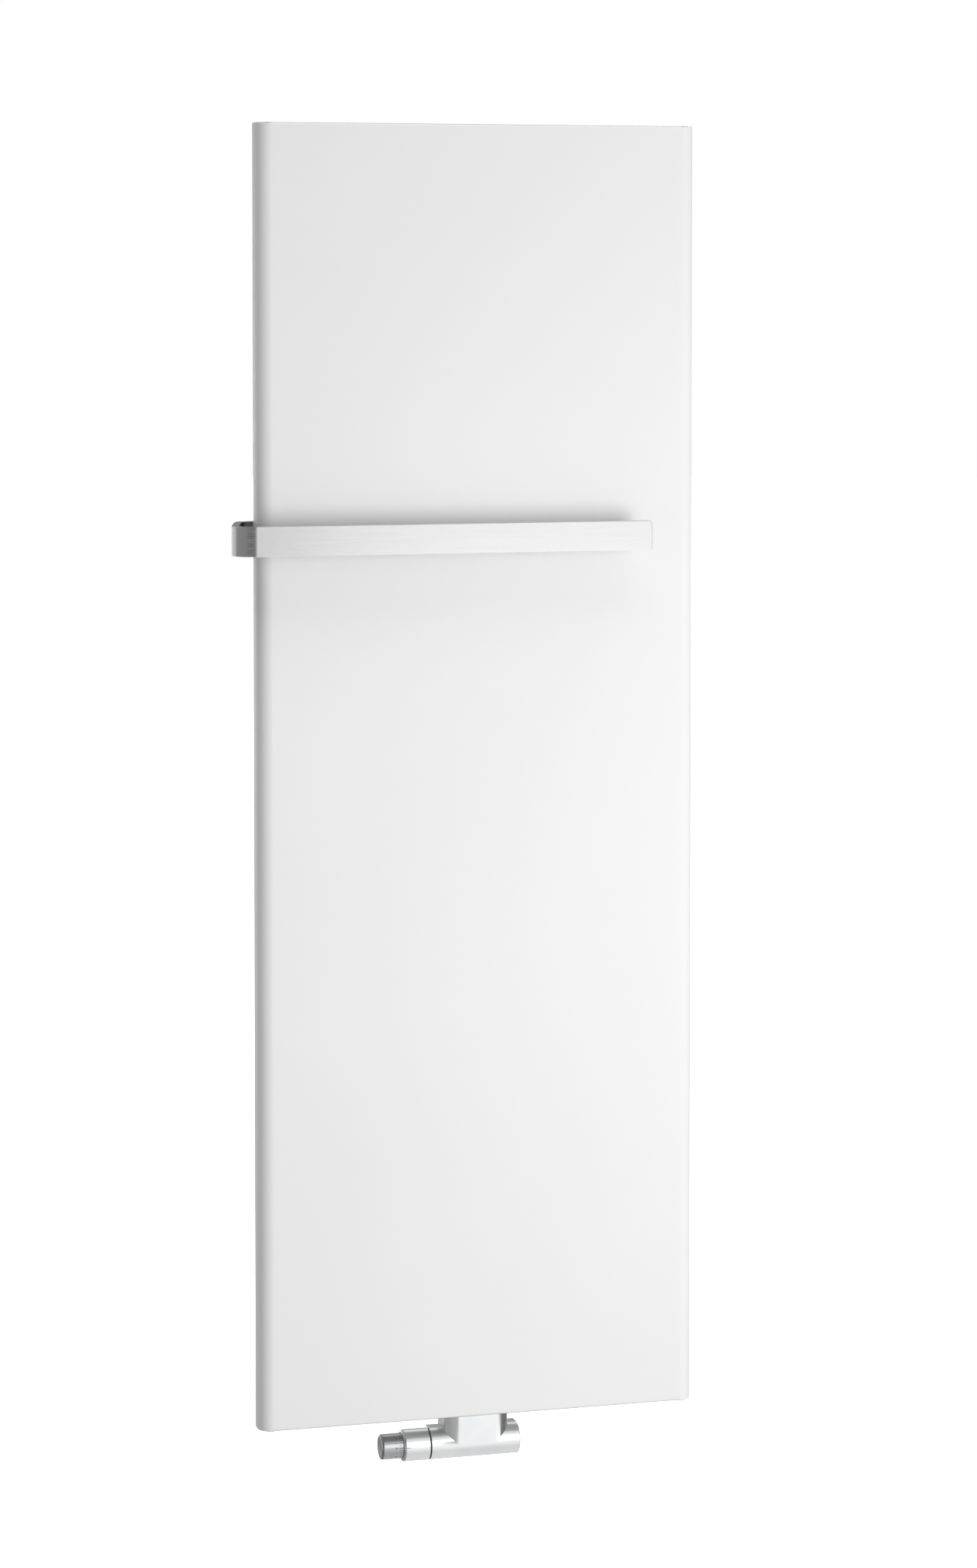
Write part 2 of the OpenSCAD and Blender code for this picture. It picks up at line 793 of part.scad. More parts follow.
// Black carrier: guide for the knob, disc that holds the collar, joint ring and neck
module head_carrier() {
    disc_x = collar_right - base_disc_t;
    color(black) at_valve() difference() {
        union() {
            rod_x(knob_left + 16, disc_x + eps, guide_r);
            rod_x(disc_x, collar_right, cover_r - collar_t - loose);
            rod_x(collar_right, -cover_left, cover_r - 1);
            rod_x(-cover_left, neck_end, neck_r);
            rod_x(neck_end - 2.5, neck_end, barrel_r - 0.2);
        }
        rod_x(knob_left + 16 - eps, disc_x - 2, sensor_r + 0.3);
        rod_x(disc_x - 2 - eps, neck_end + eps, pusher_r + run);
        rod_x(pusher_x - 4, neck_end + eps, 6);
    }
}

// Bellows of the sensor, with three shallow folds
module sensor_element() {
    fold_d = 1.2;
    color(brass) at_valve() difference() {
        rod_x(sensor_x, sensor_x + sensor_l, sensor_r);
        for (i = [1 : 3]) translate([sensor_x + i * sensor_l / 4, 0, 0]) rotate([0, 90, 0])
            rotate_extrude() translate([sensor_r, 0]) circle(fold_d, $fn = 32);
    }
}

module sensor_pusher() {
    color(nylon) at_valve() {
        rod_x(sensor_x + sensor_l, pusher_x, pusher_r);
        rod_x(sensor_x + sensor_l, sensor_x + sensor_l + 2, 8);
    }
}

// A turned cup about X with a rounded outer edge at its left end
module rounded_cup(x0, x1, r, edge) {
    rod_x(x0 + edge, x1, r);
    rod_x(x0, x0 + edge + eps, r - edge);
    translate([x0 + edge, 0, 0]) rotate([0, 90, 0])
        rotate_extrude() translate([r - edge, 0]) circle(edge);
}

module collar() {
    color(chrome) at_valve() difference() {
        rounded_cup(collar_left, collar_right, cover_r, collar_edge_r);
        rod_x(collar_left + 3, collar_right + eps, cover_r - collar_t);
        rod_x(collar_left - eps, collar_left + 3 + eps, knob_r + 0.3);
    }
}

module knob() {
    color([0.55, 0.56, 0.57]) at_valve() difference() {
        rounded_cup(knob_left, collar_left + knob_skirt, knob_r, knob_edge_r);
        rod_x(knob_left + 3, collar_left + knob_skirt + eps, knob_r - knob_t);
    }
}

// Cover: half-round front with a flat top and bottom, closed at the right, open at the back,
// and a riser with round front corners of the same radius as the front

module cover_body(inset, x0, x1, back) {
    r = cover_r - inset;
    e = max(cover_edge_r - inset, 0.2);
    rotate([0, 90, 0]) intersection() {
        union() {
            translate([0, 0, x0]) cylinder(h = x1 - e - x0, r = r);
            translate([0, 0, x1 - e - eps]) cylinder(h = e + eps, r = r - e);
            translate([0, 0, x1 - e]) rotate_extrude() translate([r - e, 0]) circle(e);
        }
        translate([-r - 1, -r - 1, x0]) cube([2 * r + 2, r + 1, x1 - x0]);
    }
    translate([0, back, 0]) rotate([90, 0, 0]) linear_extrude(back) {
        translate([x0, -r]) square([x1 - e - x0, 2 * r]);
        translate([x0, -r + e]) square([x1 - x0, 2 * r - 2 * e]);
        for (side = [-1, 1]) translate([x1 - e, side * (r - e)]) circle(e);
    }
}

module cover_riser(inset, z1, back) {
    r = cover_r - inset;
    half = riser_w / 2 - cover_r;
    linear_extrude(z1) intersection() {
        union() {
            translate([-half, -r]) square([2 * half, r + back]);
            translate([-half - r, 0]) square([2 * (half + r), back]);
            for (side = [-1, 1]) translate([side * half, 0]) circle(r);
        }
        translate([-half - r, -r]) square([2 * (half + r), r + back]);
    }
}

module valve_cover() {
    top = valve_drop - riser_gap;
    color(chrome) at_valve() difference() {
        union() {
            cover_body(0, -cover_left, cover_right, cover_back);
            cover_riser(0, top, cover_back);
        }
        cover_body(cover_t, -cover_left - eps, cover_right - cover_t, cover_back + eps);
        cover_riser(cover_t, top + eps, cover_back + eps);
    }
}

// Snap ring that holds the cover on the barrel, open to the wall, with a pad to the front
module cover_clip() {
    grip = barrel_r + loose;
    grip_t = 2.4;
    opening = 70;
    clip_w = barrel_half - pipe_x - pipe_thread_r - 2 * eps;
    color(black) at_valve() translate([pipe_x + pipe_thread_r + eps, 0, 0]) rotate([0, 90, 0]) {
        rotate([0, 0, 90 + opening]) rotate_extrude(angle = 360 - 2 * opening)
            translate([grip, 0]) square([grip_t, clip_w]);
        intersection() {
            difference() {
                cylinder(h = clip_w, r = cover_r - cover_t - loose);
                translate([0, 0, -eps]) cylinder(h = clip_w + 2 * eps, r = grip + grip_t / 2);
            }
            translate([-6, -cover_r, 0]) cube([12, cover_r, clip_w]);
        }
    }
}

front_panel();
water_tube(1);  // water_tube_1
water_tube(2);  // water_tube_2
water_tube(3);  // water_tube_3
water_tube(4);  // water_tube_4
water_tube(5);  // water_tube_5
water_tube(6);  // water_tube_6
water_tube(7);  // water_tube_7
water_tube(8);  // water_tube_8
bottom_header();
top_header();
header_end_caps();
flow_divider();
connection_socket(-1);  // supply_socket
connection_socket(1);  // return_socket
vent_sockets();
vent_plug();
bleed_screw();
blind_plug();
plug_seals();
hanger_lugs();
bracket_at(-1, 1);  // bracket_upper_left
bracket_at(1, 1);  // bracket_upper_right
bracket_at(-1, -1);  // bracket_lower_left
bracket_at(1, -1);  // bracket_lower_right
bracket_pads();
towel_rail();
rail_post(post_x[0]);  // rail_post_outer
rail_post(post_x[1]);  // rail_post_inner
rail_screws();
valve_body();
union_nipple(-1);  // supply_nipple
union_nipple(1);  // return_nipple
union_nut(-1);  // supply_union_nut
union_nut(1);  // return_union_nut
union_gaskets();
return_cock();
cock_gland();
cock_seal();
valve_insert();
insert_seal();
valve_pin();
cone_seal();
pin_spring();
head_union_nut();
head_carrier();
sensor_element();
sensor_pusher();
collar();
knob();
valve_cover();
cover_clip();
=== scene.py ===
import json
import math

import bmesh
import bpy
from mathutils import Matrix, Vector


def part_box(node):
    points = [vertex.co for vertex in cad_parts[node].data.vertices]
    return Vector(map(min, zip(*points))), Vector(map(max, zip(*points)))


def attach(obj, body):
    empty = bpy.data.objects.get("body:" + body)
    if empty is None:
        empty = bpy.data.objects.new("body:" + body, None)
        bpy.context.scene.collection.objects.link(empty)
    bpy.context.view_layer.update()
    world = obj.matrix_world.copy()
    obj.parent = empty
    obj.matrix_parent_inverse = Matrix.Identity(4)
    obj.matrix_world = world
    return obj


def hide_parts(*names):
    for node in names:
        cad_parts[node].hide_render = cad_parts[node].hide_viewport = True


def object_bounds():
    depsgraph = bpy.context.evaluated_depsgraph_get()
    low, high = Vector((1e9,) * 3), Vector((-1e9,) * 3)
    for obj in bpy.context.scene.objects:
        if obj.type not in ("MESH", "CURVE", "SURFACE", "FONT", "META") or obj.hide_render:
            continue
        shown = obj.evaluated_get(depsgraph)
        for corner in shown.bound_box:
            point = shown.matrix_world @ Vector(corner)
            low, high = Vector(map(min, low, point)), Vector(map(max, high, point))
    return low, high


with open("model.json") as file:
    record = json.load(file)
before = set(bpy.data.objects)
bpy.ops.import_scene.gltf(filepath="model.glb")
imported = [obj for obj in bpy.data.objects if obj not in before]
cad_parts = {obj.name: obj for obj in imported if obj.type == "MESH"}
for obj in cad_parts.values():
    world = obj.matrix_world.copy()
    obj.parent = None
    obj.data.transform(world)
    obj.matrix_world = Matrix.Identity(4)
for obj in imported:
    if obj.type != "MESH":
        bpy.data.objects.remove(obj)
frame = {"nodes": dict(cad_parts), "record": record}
cadBox = [list(corner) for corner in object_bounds()]
mm = 0.001


def clearSelection():
    if bpy.context.object and bpy.context.object.mode != "OBJECT":
        bpy.ops.object.mode_set(mode="OBJECT")
    bpy.ops.object.select_all(action="DESELECT")


def takeActive(piece):
    clearSelection()
    piece.select_set(True)
    bpy.context.view_layer.objects.active = piece


def nameNew(name):
    piece = bpy.context.object
    piece.name = name
    piece.data.name = name
    return piece


def nameFrom(node):
    # water_tube_1 gives waterTube1
    first, *others = node.split("_")
    return first + "".join(part.capitalize() for part in others)


def boxOf(node):
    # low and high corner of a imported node, in millimetres
    return [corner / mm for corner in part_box(node)]


def middleOf(node):
    return [(a + b) / 2 for a, b in zip(*boxOf(node))]


def inMetres(place):
    return [number * mm for number in place]


def placeInMesh(piece):
    takeActive(piece)
    bpy.ops.object.transform_apply(location=True, rotation=True, scale=True)
    return piece


def addBlock(name, low, high):
    # low and high corners in millimetres
    clearSelection()
    low, high = Vector(low) * mm, Vector(high) * mm
    bpy.ops.mesh.primitive_cube_add(size=1, location=(low + high) / 2)
    piece = nameNew(name)
    piece.scale = high - low
    return placeInMesh(piece)


def addRound(name, vertices, radius, length, middle, turn=(0, 0, 0)):
    # round bar or prism, in millimetres and degrees
    clearSelection()
    bpy.ops.mesh.primitive_cylinder_add(vertices=vertices, radius=radius * mm, depth=length * mm,
                                        location=inMetres(middle), rotation=[math.radians(t) for t in turn])
    return placeInMesh(nameNew(name))


def editPiece(piece):
    # edit mode with everything selected
    takeActive(piece)
    bpy.ops.object.mode_set(mode="EDIT")
    bpy.ops.mesh.select_mode(type="VERT")
    bpy.ops.mesh.select_all(action="SELECT")


def leaveEdit():
    bpy.ops.object.mode_set(mode="OBJECT")


def pick(kind, test):
    # selects only the verts, edges or faces whose middle (in mm) passes the test
    bpy.ops.mesh.select_mode(type={"verts": "VERT", "edges": "EDGE", "faces": "FACE"}[kind])
    bpy.ops.mesh.select_all(action="DESELECT")
    cage = bmesh.from_edit_mesh(bpy.context.object.data)
    for part in getattr(cage, kind):
        if kind == "verts":
            chosen = test(part.co / mm)
        elif kind == "edges":
            a, b = part.verts
            chosen = test((a.co + b.co) / 2 / mm, (b.co - a.co) / mm)
        else:
            chosen = test(part.calc_center_median() / mm, part.normal)
        if chosen:
            part.select_set(True)
    cage.select_flush_mode()
    bmesh.update_edit_mesh(bpy.context.object.data)


def drawOut(shift, kind="region"):
    # extrudes what is selected by millimetres
    extrude = getattr(bpy.ops.mesh, f"extrude_{kind}_move")
    extrude(TRANSFORM_OT_translate={"value": inMetres(shift)})


def spinOut(steps, angle, centre, axis):
    bpy.ops.mesh.spin(steps=steps, angle=math.radians(angle), center=inMetres(centre), axis=axis)


def cutAcross(place, normal, **settings):
    bpy.ops.mesh.select_all(action="SELECT")
    bpy.ops.mesh.bisect(plane_co=inMetres(place), plane_no=normal, **settings)


def roundEdges(piece, test, width, segments=6):
    # bevels the edges that pass the test
    editPiece(piece)
    pick("edges", test)
    bpy.ops.mesh.bevel(offset=width * mm, segments=segments, affect="EDGES")
    leaveEdit()
    return piece


def modify(piece, kind, **settings):
    takeActive(piece)
    step = piece.modifiers.new(kind.title(), kind)
    for key, value in settings.items():
        setattr(step, key, value)
    bpy.ops.object.modifier_apply(modifier=step.name)
    return piece


def softenEdges(piece, width, segments=3, angle=35, **settings):
    return modify(piece, "BEVEL", width=width * mm, segments=segments, limit_method="ANGLE",
                  angle_limit=math.radians(angle), **settings)


def joinInto(piece, others):
    takeActive(piece)
    for other in others:
        other.select_set(True)
    bpy.ops.object.join()
    return piece


def combine(piece, tool, operation):
    # boolean with a helper piece, which goes away afterwards
    modify(piece, "BOOLEAN", operation=operation, object=tool, solver="EXACT")
    bpy.data.objects.remove(tool)
    return piece


def fuse(piece, tool):
    return combine(piece, tool, "UNION")


def cutOut(piece, tool):
    return combine(piece, tool, "DIFFERENCE")


def cleanMesh(piece, distance=0.01):
    editPiece(piece)
    bpy.ops.mesh.remove_doubles(threshold=distance * mm)
    bpy.ops.mesh.normals_make_consistent(inside=False)
    leaveEdit()
    return piece


def flipFaces(piece):
    editPiece(piece)
    bpy.ops.mesh.flip_normals()
    leaveEdit()


def traceLine(name, points):
    # one vertex, extruded from point to point (mm); edit mode stays on
    clearSelection()
    bpy.ops.mesh.primitive_plane_add(size=0.001, location=(0, 0, 0))
    piece = nameNew(name)
    editPiece(piece)
    bpy.ops.mesh.merge(type="CENTER")
    bpy.ops.mesh.select_all(action="SELECT")
    spots = [Vector(point) * mm for point in points]
    bpy.ops.transform.translate(value=spots[0])
    for before, after in zip(spots, spots[1:]):
        bpy.ops.mesh.extrude_vertices_move(TRANSFORM_OT_translate={"value": after - before})
    return piece


def arcPoints(centre, radius, fromAngle, toAngle, steps):
    # points in a plane, angles in degrees
    turn = [math.radians(fromAngle + (toAngle - fromAngle) * i / steps) for i in range(steps + 1)]
    return [(centre[0] + radius * math.cos(t), centre[1] + radius * math.sin(t)) for t in turn]


def turnOnLathe(name, outline, axis, centre, steps=96):
    # outline: (along the axis, radius) in mm; closed where it starts and ends on the axis or on itself
    axis, centre = Vector(axis), Vector(centre)
    side = Vector((0, 0, 1)) if abs(axis.z) < 0.5 else Vector((1, 0, 0))
    piece = traceLine(name, [centre + axis * along + side * radius for along, radius in outline])
    bpy.ops.mesh.select_all(action="SELECT")
    spinOut(steps, 360, centre, axis)
    leaveEdit()
    return cleanMesh(piece)


def addRod(axis, centre, low, high, radius, steps=48):
    return turnOnLathe("rod", [(low, 0), (low, radius), (high, radius), (high, 0)], axis, centre, steps)


def drill(piece, *rod):
    # round hole: axis, centre, where it starts and ends, and its radius
    return cutOut(piece, addRod(*rod))


def copyPiece(piece, name, shift):
    # a second piece with its own mesh, moved by millimetres
    takeActive(piece)
    bpy.ops.object.duplicate(linked=False)
    other = nameNew(name)
    other.location = Vector(shift) * mm
    return placeInMesh(other)


def startFinish(name, **sockets):
    finish = bpy.data.materials.new(name)
    finish.use_nodes = True
    shader = finish.node_tree.nodes["Principled BSDF"]
    for socket, value in sockets.items():
        shader.inputs[socket].default_value = value
    return finish, finish.node_tree, shader


def addNode(tree, kind, inputs=None, **settings):
    node = tree.nodes.new("ShaderNode" + kind)
    for key, value in settings.items():
        setattr(node, key, value)
    for key, value in (inputs or {}).items():
        if isinstance(value, bpy.types.NodeSocket):
            tree.links.new(value, node.inputs[key])
        else:
            node.inputs[key].default_value = value
    return node


def feed(node, socket, value):
    node.id_data.links.new(value, node.inputs[socket])


# the nodes below are added to the tree that their first socket belongs to

def calc(kind, first, second=0.0):
    owner = first if isinstance(first, bpy.types.NodeSocket) else second
    return addNode(owner.id_data, "Math", {0: first, 1: second}, operation=kind).outputs[0]


def split(place):
    parts = addNode(place.id_data, "SeparateXYZ", {"Vector": place})
    return [parts.outputs[axis] for axis in "XYZ"]


def noise(place, scale, detail=2.0, roughness=0.5):
    return addNode(place.id_data, "TexNoise", {"Vector": place, "Scale": scale, "Detail": detail,
                                               "Roughness": roughness}).outputs["Fac"]


def spread(value, low, high, fromLow=0.3, fromHigh=0.7):
    # a range turned into another; it stops at both ends
    return addNode(value.id_data, "MapRange", {"Value": value, "From Min": fromLow, "From Max": fromHigh,
                                               "To Min": low, "To Max": high}).outputs["Result"]


def blendColours(factor, first, second):
    mix = addNode(factor.id_data, "Mix", data_type="RGBA")
    for socket, value in (("Factor", factor), ("A", first), ("B", second)):
        target = [s for s in mix.inputs if s.name == socket and (socket == "Factor" or s.type == "RGBA")][0]
        if isinstance(value, bpy.types.NodeSocket):
            factor.id_data.links.new(value, target)
        else:
            target.default_value = (*value, 1)
    return [s for s in mix.outputs if s.type == "RGBA"][0]


def cloudy(place, scale, detail, light, dark):
    return blendColours(spread(noise(place, scale, detail), 0, 1), light, dark)


def addBump(shader, height, strength, depth):
    bump = addNode(shader.id_data, "Bump", {"Height": height, "Strength": strength, "Distance": depth * mm})
    feed(shader, "Normal", bump.outputs["Normal"])


def objectPlace(tree):
    coords = addNode(tree, "TexCoord")
    return addNode(tree, "Mapping", {"Vector": coords.outputs["Object"]}).outputs["Vector"]


def barPlace(tree, scale=(1, 1, 1)):
    # along the bar and round its section
    coords = addNode(tree, "UVMap", uv_map="alongBar")
    return addNode(tree, "Mapping", {"Vector": coords.outputs["UV"], "Scale": scale}).outputs["Vector"]


def ownValue(tree, name):
    # a number kept on the piece's own points
    return addNode(tree, "Attribute", attribute_name=name, attribute_type="GEOMETRY").outputs["Fac"]


def makeEnamel():
    # edge is the colour of the painted shade along the folded ends
    look = {"light": (0.92, 0.922, 0.918), "deep": (0.90, 0.903, 0.898), "edge": (0.30, 0.302, 0.305),
            "shadeTo": 1.0, "shadeFrom": 0.5, "sheet": 2.0, "sheetTo": 2.4, "broad": 3.0, "patches": 240,
            "smudges": 60, "orangePeel": 630, "rough": (0.36, 0.44), "peelBump": (0.12, 0.05)}
    finish, tree, shader = startFinish("satinWhiteEnamel", **{"IOR": 1.45})
    place = objectPlace(tree)
    coat = cloudy(place, look["broad"], 3, look["light"], look["deep"])
    # painted shade: a dark line in the edge colour is painted along the front's upper and lower folded ends, where
    # the sheet's edge lies in shadow
    low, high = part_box("front_panel")
    y, z = split(place)[1:]
    patches = spread(noise(place, look["patches"], 2), 0.85, 1.0)
    thin = spread(calc("ABSOLUTE", z), 0, patches,
                  high.z - look["shadeTo"] * mm, high.z - look["shadeFrom"] * mm)
    atFront = spread(y, 1, 0, low.y + look["sheet"] * mm, low.y + look["sheetTo"] * mm)
    thin = calc("MULTIPLY", thin, atFront)
    feed(shader, "Base Color", blendColours(thin, coat, look["edge"]))
    feed(shader, "Roughness", spread(noise(place, look["smudges"], 3), *look["rough"]))
    addBump(shader, noise(place, look["orangePeel"], 1), *look["peelBump"])
    return finish


def makeBrushedSteel():
    look = {"light": (0.594, 0.595, 0.596), "dark": (0.525, 0.526, 0.527), "mill": (0.15, 0.15, 0.151),
            "highlightTone": (0.94, 0.942, 0.944), "streak": (0.356, 0.357, 0.358), "coarse": (7, 520, 1),
            "fine": (20, 5200, 1), "bendStart": 0.7065, "streakFull": 0.0030, "streakEnd": 0.0062,
            "streakGrain": (60, 1050, 1), "rough": (0.26, 0.36), "grainBump": (0.35, 0.12)}
    # the highlight spreads across the grain, so the tangent is turned by a quarter
    finish, tree, shader = startFinish("brushedStainless", **{"Metallic": 1.0, "Anisotropic": 0.8,
                                                              "Anisotropic Rotation": 0.25})
    coarse, fine = [noise(barPlace(tree, look[size]), 1.0, 3, 0.6) for size in ("coarse", "fine")]
    grain = calc("MULTIPLY", calc("ADD", coarse, fine), 0.5)
    steel = blendColours(spread(grain, 0, 1, 0.35, 0.65), look["dark"], look["light"])
    # painted reflection: dark streaks are painted in a narrow band across the bar, just inside its first bend
    off = calc("SUBTRACT", split(barPlace(tree))[0], look["bendStart"])
    near = spread(calc("ABSOLUTE", off), 1, 0, look["streakFull"], look["streakEnd"])
    lines = spread(noise(barPlace(tree, look["streakGrain"]), 1.0, 1, 0.4), 0, 1, 0.5, 0.6)
    steel = blendColours(calc("MULTIPLY", near, lines), steel, look["streak"])
    # painted shade: the inner side, in shadow between the bar and the panel, is painted dark; painted highlight: the
    # long edges are painted light
    steel = blendColours(ownValue(tree, "paintedInnerShade"), steel, look["mill"])
    steel = blendColours(ownValue(tree, "paintedEdgeHighlight"), steel, look["highlightTone"])
    feed(shader, "Base Color", steel)
    feed(shader, "Roughness", spread(grain, *look["rough"], 0.35, 0.65))
    addBump(shader, grain, *look["grainBump"])
    tangent = addNode(tree, "Tangent", direction_type="UV_MAP", uv_map="alongBar")
    feed(shader, "Tangent", tangent.outputs["Tangent"])
    return finish


def makePlated(name, light, dark, smooth, rough, grain=2200, lift=0.05):
    # chrome, nickel and zinc: a metal with faint clouds and fine grain
    finish, tree, shader = startFinish(name, **{"Metallic": 1.0})
    place = objectPlace(tree)
    feed(shader, "Base Color", cloudy(place, 35, 3, light, dark))
    skin = noise(place, grain, 2)
    feed(shader, "Roughness", spread(skin, smooth, rough))
    addBump(shader, skin, lift, 0.01)
    return finish


def makeMoulded(name, light, dark, roughness):
    # rubber and plastics
    finish, tree, shader = startFinish(name, **{"IOR": 1.46})
    place = objectPlace(tree)
    feed(shader, "Base Color", cloudy(place, 90, 3, light, dark))
    skin = noise(place, 1500, 2)
    feed(shader, "Roughness", spread(skin, roughness - 0.06, roughness + 0.06))
    addBump(shader, skin, 0.2, 0.03)
    return finish


finishes = {
    "white_enamel": makeEnamel(),
    "brushed_steel": makeBrushedSteel(),
    "satin_chrome": makePlated("satinChrome", (0.86, 0.865, 0.87), (0.81, 0.815, 0.825), 0.22, 0.26, lift=0.012),
    "dark_chrome": makePlated("darkChrome", (0.44, 0.443, 0.45), (0.40, 0.403, 0.41), 0.18, 0.22, lift=0.012),
    "nickel": makePlated("nickelPlate", (0.74, 0.71, 0.65), (0.66, 0.63, 0.57), 0.22, 0.34),
    "brass": makePlated("machinedBrass", (0.80, 0.62, 0.32), (0.70, 0.52, 0.25), 0.20, 0.34),
    "zinc": makePlated("zincPlate", (0.68, 0.70, 0.72), (0.56, 0.58, 0.60), 0.34, 0.50, 900, 0.15),
    "bare_steel": makePlated("bareSteel", (0.58, 0.58, 0.58), (0.47, 0.47, 0.475), 0.28, 0.42),
    "rubber": makeMoulded("sealRubber", (0.022, 0.022, 0.023), (0.035, 0.035, 0.035), 0.62),
    "nylon": makeMoulded("naturalNylon", (0.80, 0.79, 0.74), (0.73, 0.72, 0.66), 0.45),
    "black_plastic": makeMoulded("blackPlastic", (0.02, 0.02, 0.021), (0.032, 0.032, 0.034), 0.42),
}
scaleInk = makeMoulded("scaleInk", (0.012, 0.012, 0.013), (0.02, 0.02, 0.02), 0.5)
print("finishes made:", len(finishes) + 1)


def dress(piece, slot, node=None, angle=30, body="radiator", finish=None):
    # last step for each new piece: shading, finish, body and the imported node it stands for
    takeActive(piece)
    bpy.ops.object.shade_smooth_by_angle(angle=math.radians(angle))
    modify(piece, "WEIGHTED_NORMAL", keep_sharp=True)
    piece.data.materials.clear()
    piece.data.materials.append(finish or finishes[slot])
    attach(piece, body)
    if node:
        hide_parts(node)


def setCamera():
    view = {"place": (-1.3903, -5.3433, 0.683), "turn": 14.986, "tip": 2.633, "lens": 90.18, "shiftY": -0.205}
    turned = (math.radians(90 - view["tip"]), 0, -math.radians(view["turn"]))
    bpy.ops.object.camera_add(location=view["place"], rotation=turned)
    camera = bpy.context.object
    camera.data.lens = view["lens"]
    camera.data.sensor_width = 36
    camera.data.sensor_fit = "AUTO"
    camera.data.shift_y = view["shiftY"]
    bpy.context.scene.camera = camera


def addLamp(name, place, aim, size, power):
    clearSelection()
    bpy.ops.object.light_add(type="AREA", location=place)
    lamp = nameNew(name)
    lamp.data.shape = "RECTANGLE"
    lamp.data.size, lamp.data.size_y = size
    lamp.data.energy = power
    lamp.visible_camera = False
    lamp.rotation_euler = (Vector(aim) - Vector(place)).to_track_quat("-Z", "Y").to_euler()
    return lamp


def setBackdrop():
    plain = {"floorBelow": 0.012, "floorSize": 60, "floorGlow": 0.75, "light": (0.93, 0.93, 0.93),
             "dark": (0.91, 0.91, 0.91), "domeRadius": 28}
    ground = (0, 0, cadBox[0][2] - plain["floorBelow"])
    clearSelection()
    bpy.ops.mesh.primitive_plane_add(size=plain["floorSize"], location=ground)
    floor = placeInMesh(nameNew("studioFloor"))
    finish, tree, shader = startFinish("paleFloor", **{"Roughness": 0.9, "Specular IOR Level": 0.2,
                                                       "Emission Color": (1, 1, 1, 1),
                                                       "Emission Strength": plain["floorGlow"]})
    feed(shader, "Base Color", cloudy(objectPlace(tree), 0.6, 2, plain["light"], plain["dark"]))
    floor.data.materials.append(finish)
    # plain white all round
    clearSelection()
    bpy.ops.mesh.primitive_uv_sphere_add(segments=32, ring_count=16, radius=plain["domeRadius"], location=ground)
    dome = placeInMesh(nameNew("studioDome"))
    finish, tree, shader = startFinish("paleDome", **{"Base Color": (0, 0, 0, 1), "Roughness": 1.0,
                                                      "Specular IOR Level": 0.0, "Emission Color": (1, 1, 1, 1),
                                                      "Emission Strength": 1.0})
    dome.data.materials.append(finish)
    # the light and the reflections on the pieces come from the sky instead
    for backdrop, ways in ((floor, ("diffuse", "glossy")),
                           (dome, ("diffuse", "glossy", "transmission", "volume_scatter", "shadow"))):
        for way in ways:
            setattr(backdrop, "visible_" + way, False)


def setSky():
    sky = {"leftHigh": 0.16, "leftLow": 0.49, "farLeft": 0.45, "farLeftSteep": 0.15, "rightHigh": 1.0,
           "rightLow": 1.25, "steepLow": 0.66, "farRight": 0.15, "zenith": 0.33, "rearLevel": 1.4, "rearGraze": 0.22,
           "rearHigh": 0.55, "rearLow": 0.30, "rearRight": 0.15}
    world = bpy.data.worlds.new("softSky")
    bpy.context.scene.world = world
    world.use_nodes = True
    tree = world.node_tree
    x, y, z = split(addNode(tree, "TexCoord").outputs["Generated"])

    def between(factor, first, second):
        # first where factor is 0, second where it is 1
        keep = calc("MULTIPLY", first, calc("SUBTRACT", 1.0, factor))
        return calc("ADD", keep, calc("MULTIPLY", second, factor))

    def scaled(value, *ramp):
        return calc("MULTIPLY", value, spread(*ramp))

    # dim on the left and overhead, bright on the right and level behind
    side = spread(x, 0, 1, 0.08, 0.15)
    farLeft = spread(calc("ABSOLUTE", z), sky["farLeft"], sky["farLeftSteep"], 0.2, 0.5)
    left = spread(x, 1, 0, -0.9, -0.55)
    high = between(side, between(left, sky["leftHigh"], farLeft), sky["rightHigh"])
    high = scaled(high, z, 1.0, sky["zenith"], 0.72, 0.92)
    low = between(side, between(left, sky["leftLow"], farLeft), sky["rightLow"])
    low = scaled(low, z, sky["steepLow"], 1.0, -0.75, -0.1)
    front = between(spread(z, 0, 1, -0.06, 0.04), low, high)
    front = scaled(front, x, 1.0, sky["farRight"], 0.5, 0.85)
    rear = calc("MINIMUM", spread(z, sky["rearLevel"], sky["rearGraze"], 0.0, 0.05),
                spread(z, sky["rearLow"], sky["rearLevel"], -0.30, -0.10))
    rear = calc("MAXIMUM", rear, spread(z, 0, sky["rearHigh"], 0.15, 0.35))
    rear = scaled(rear, x, 1.0, sky["rearRight"], 0.2, 0.5)
    behind = spread(calc("SUBTRACT", y, calc("MULTIPLY", x, 0.35)), 0, 1, 0.6, 0.8)
    background = tree.nodes["Background"]
    feed(background, "Strength", between(behind, front, rear))
    background.inputs["Color"].default_value = (1, 1, 1, 1)


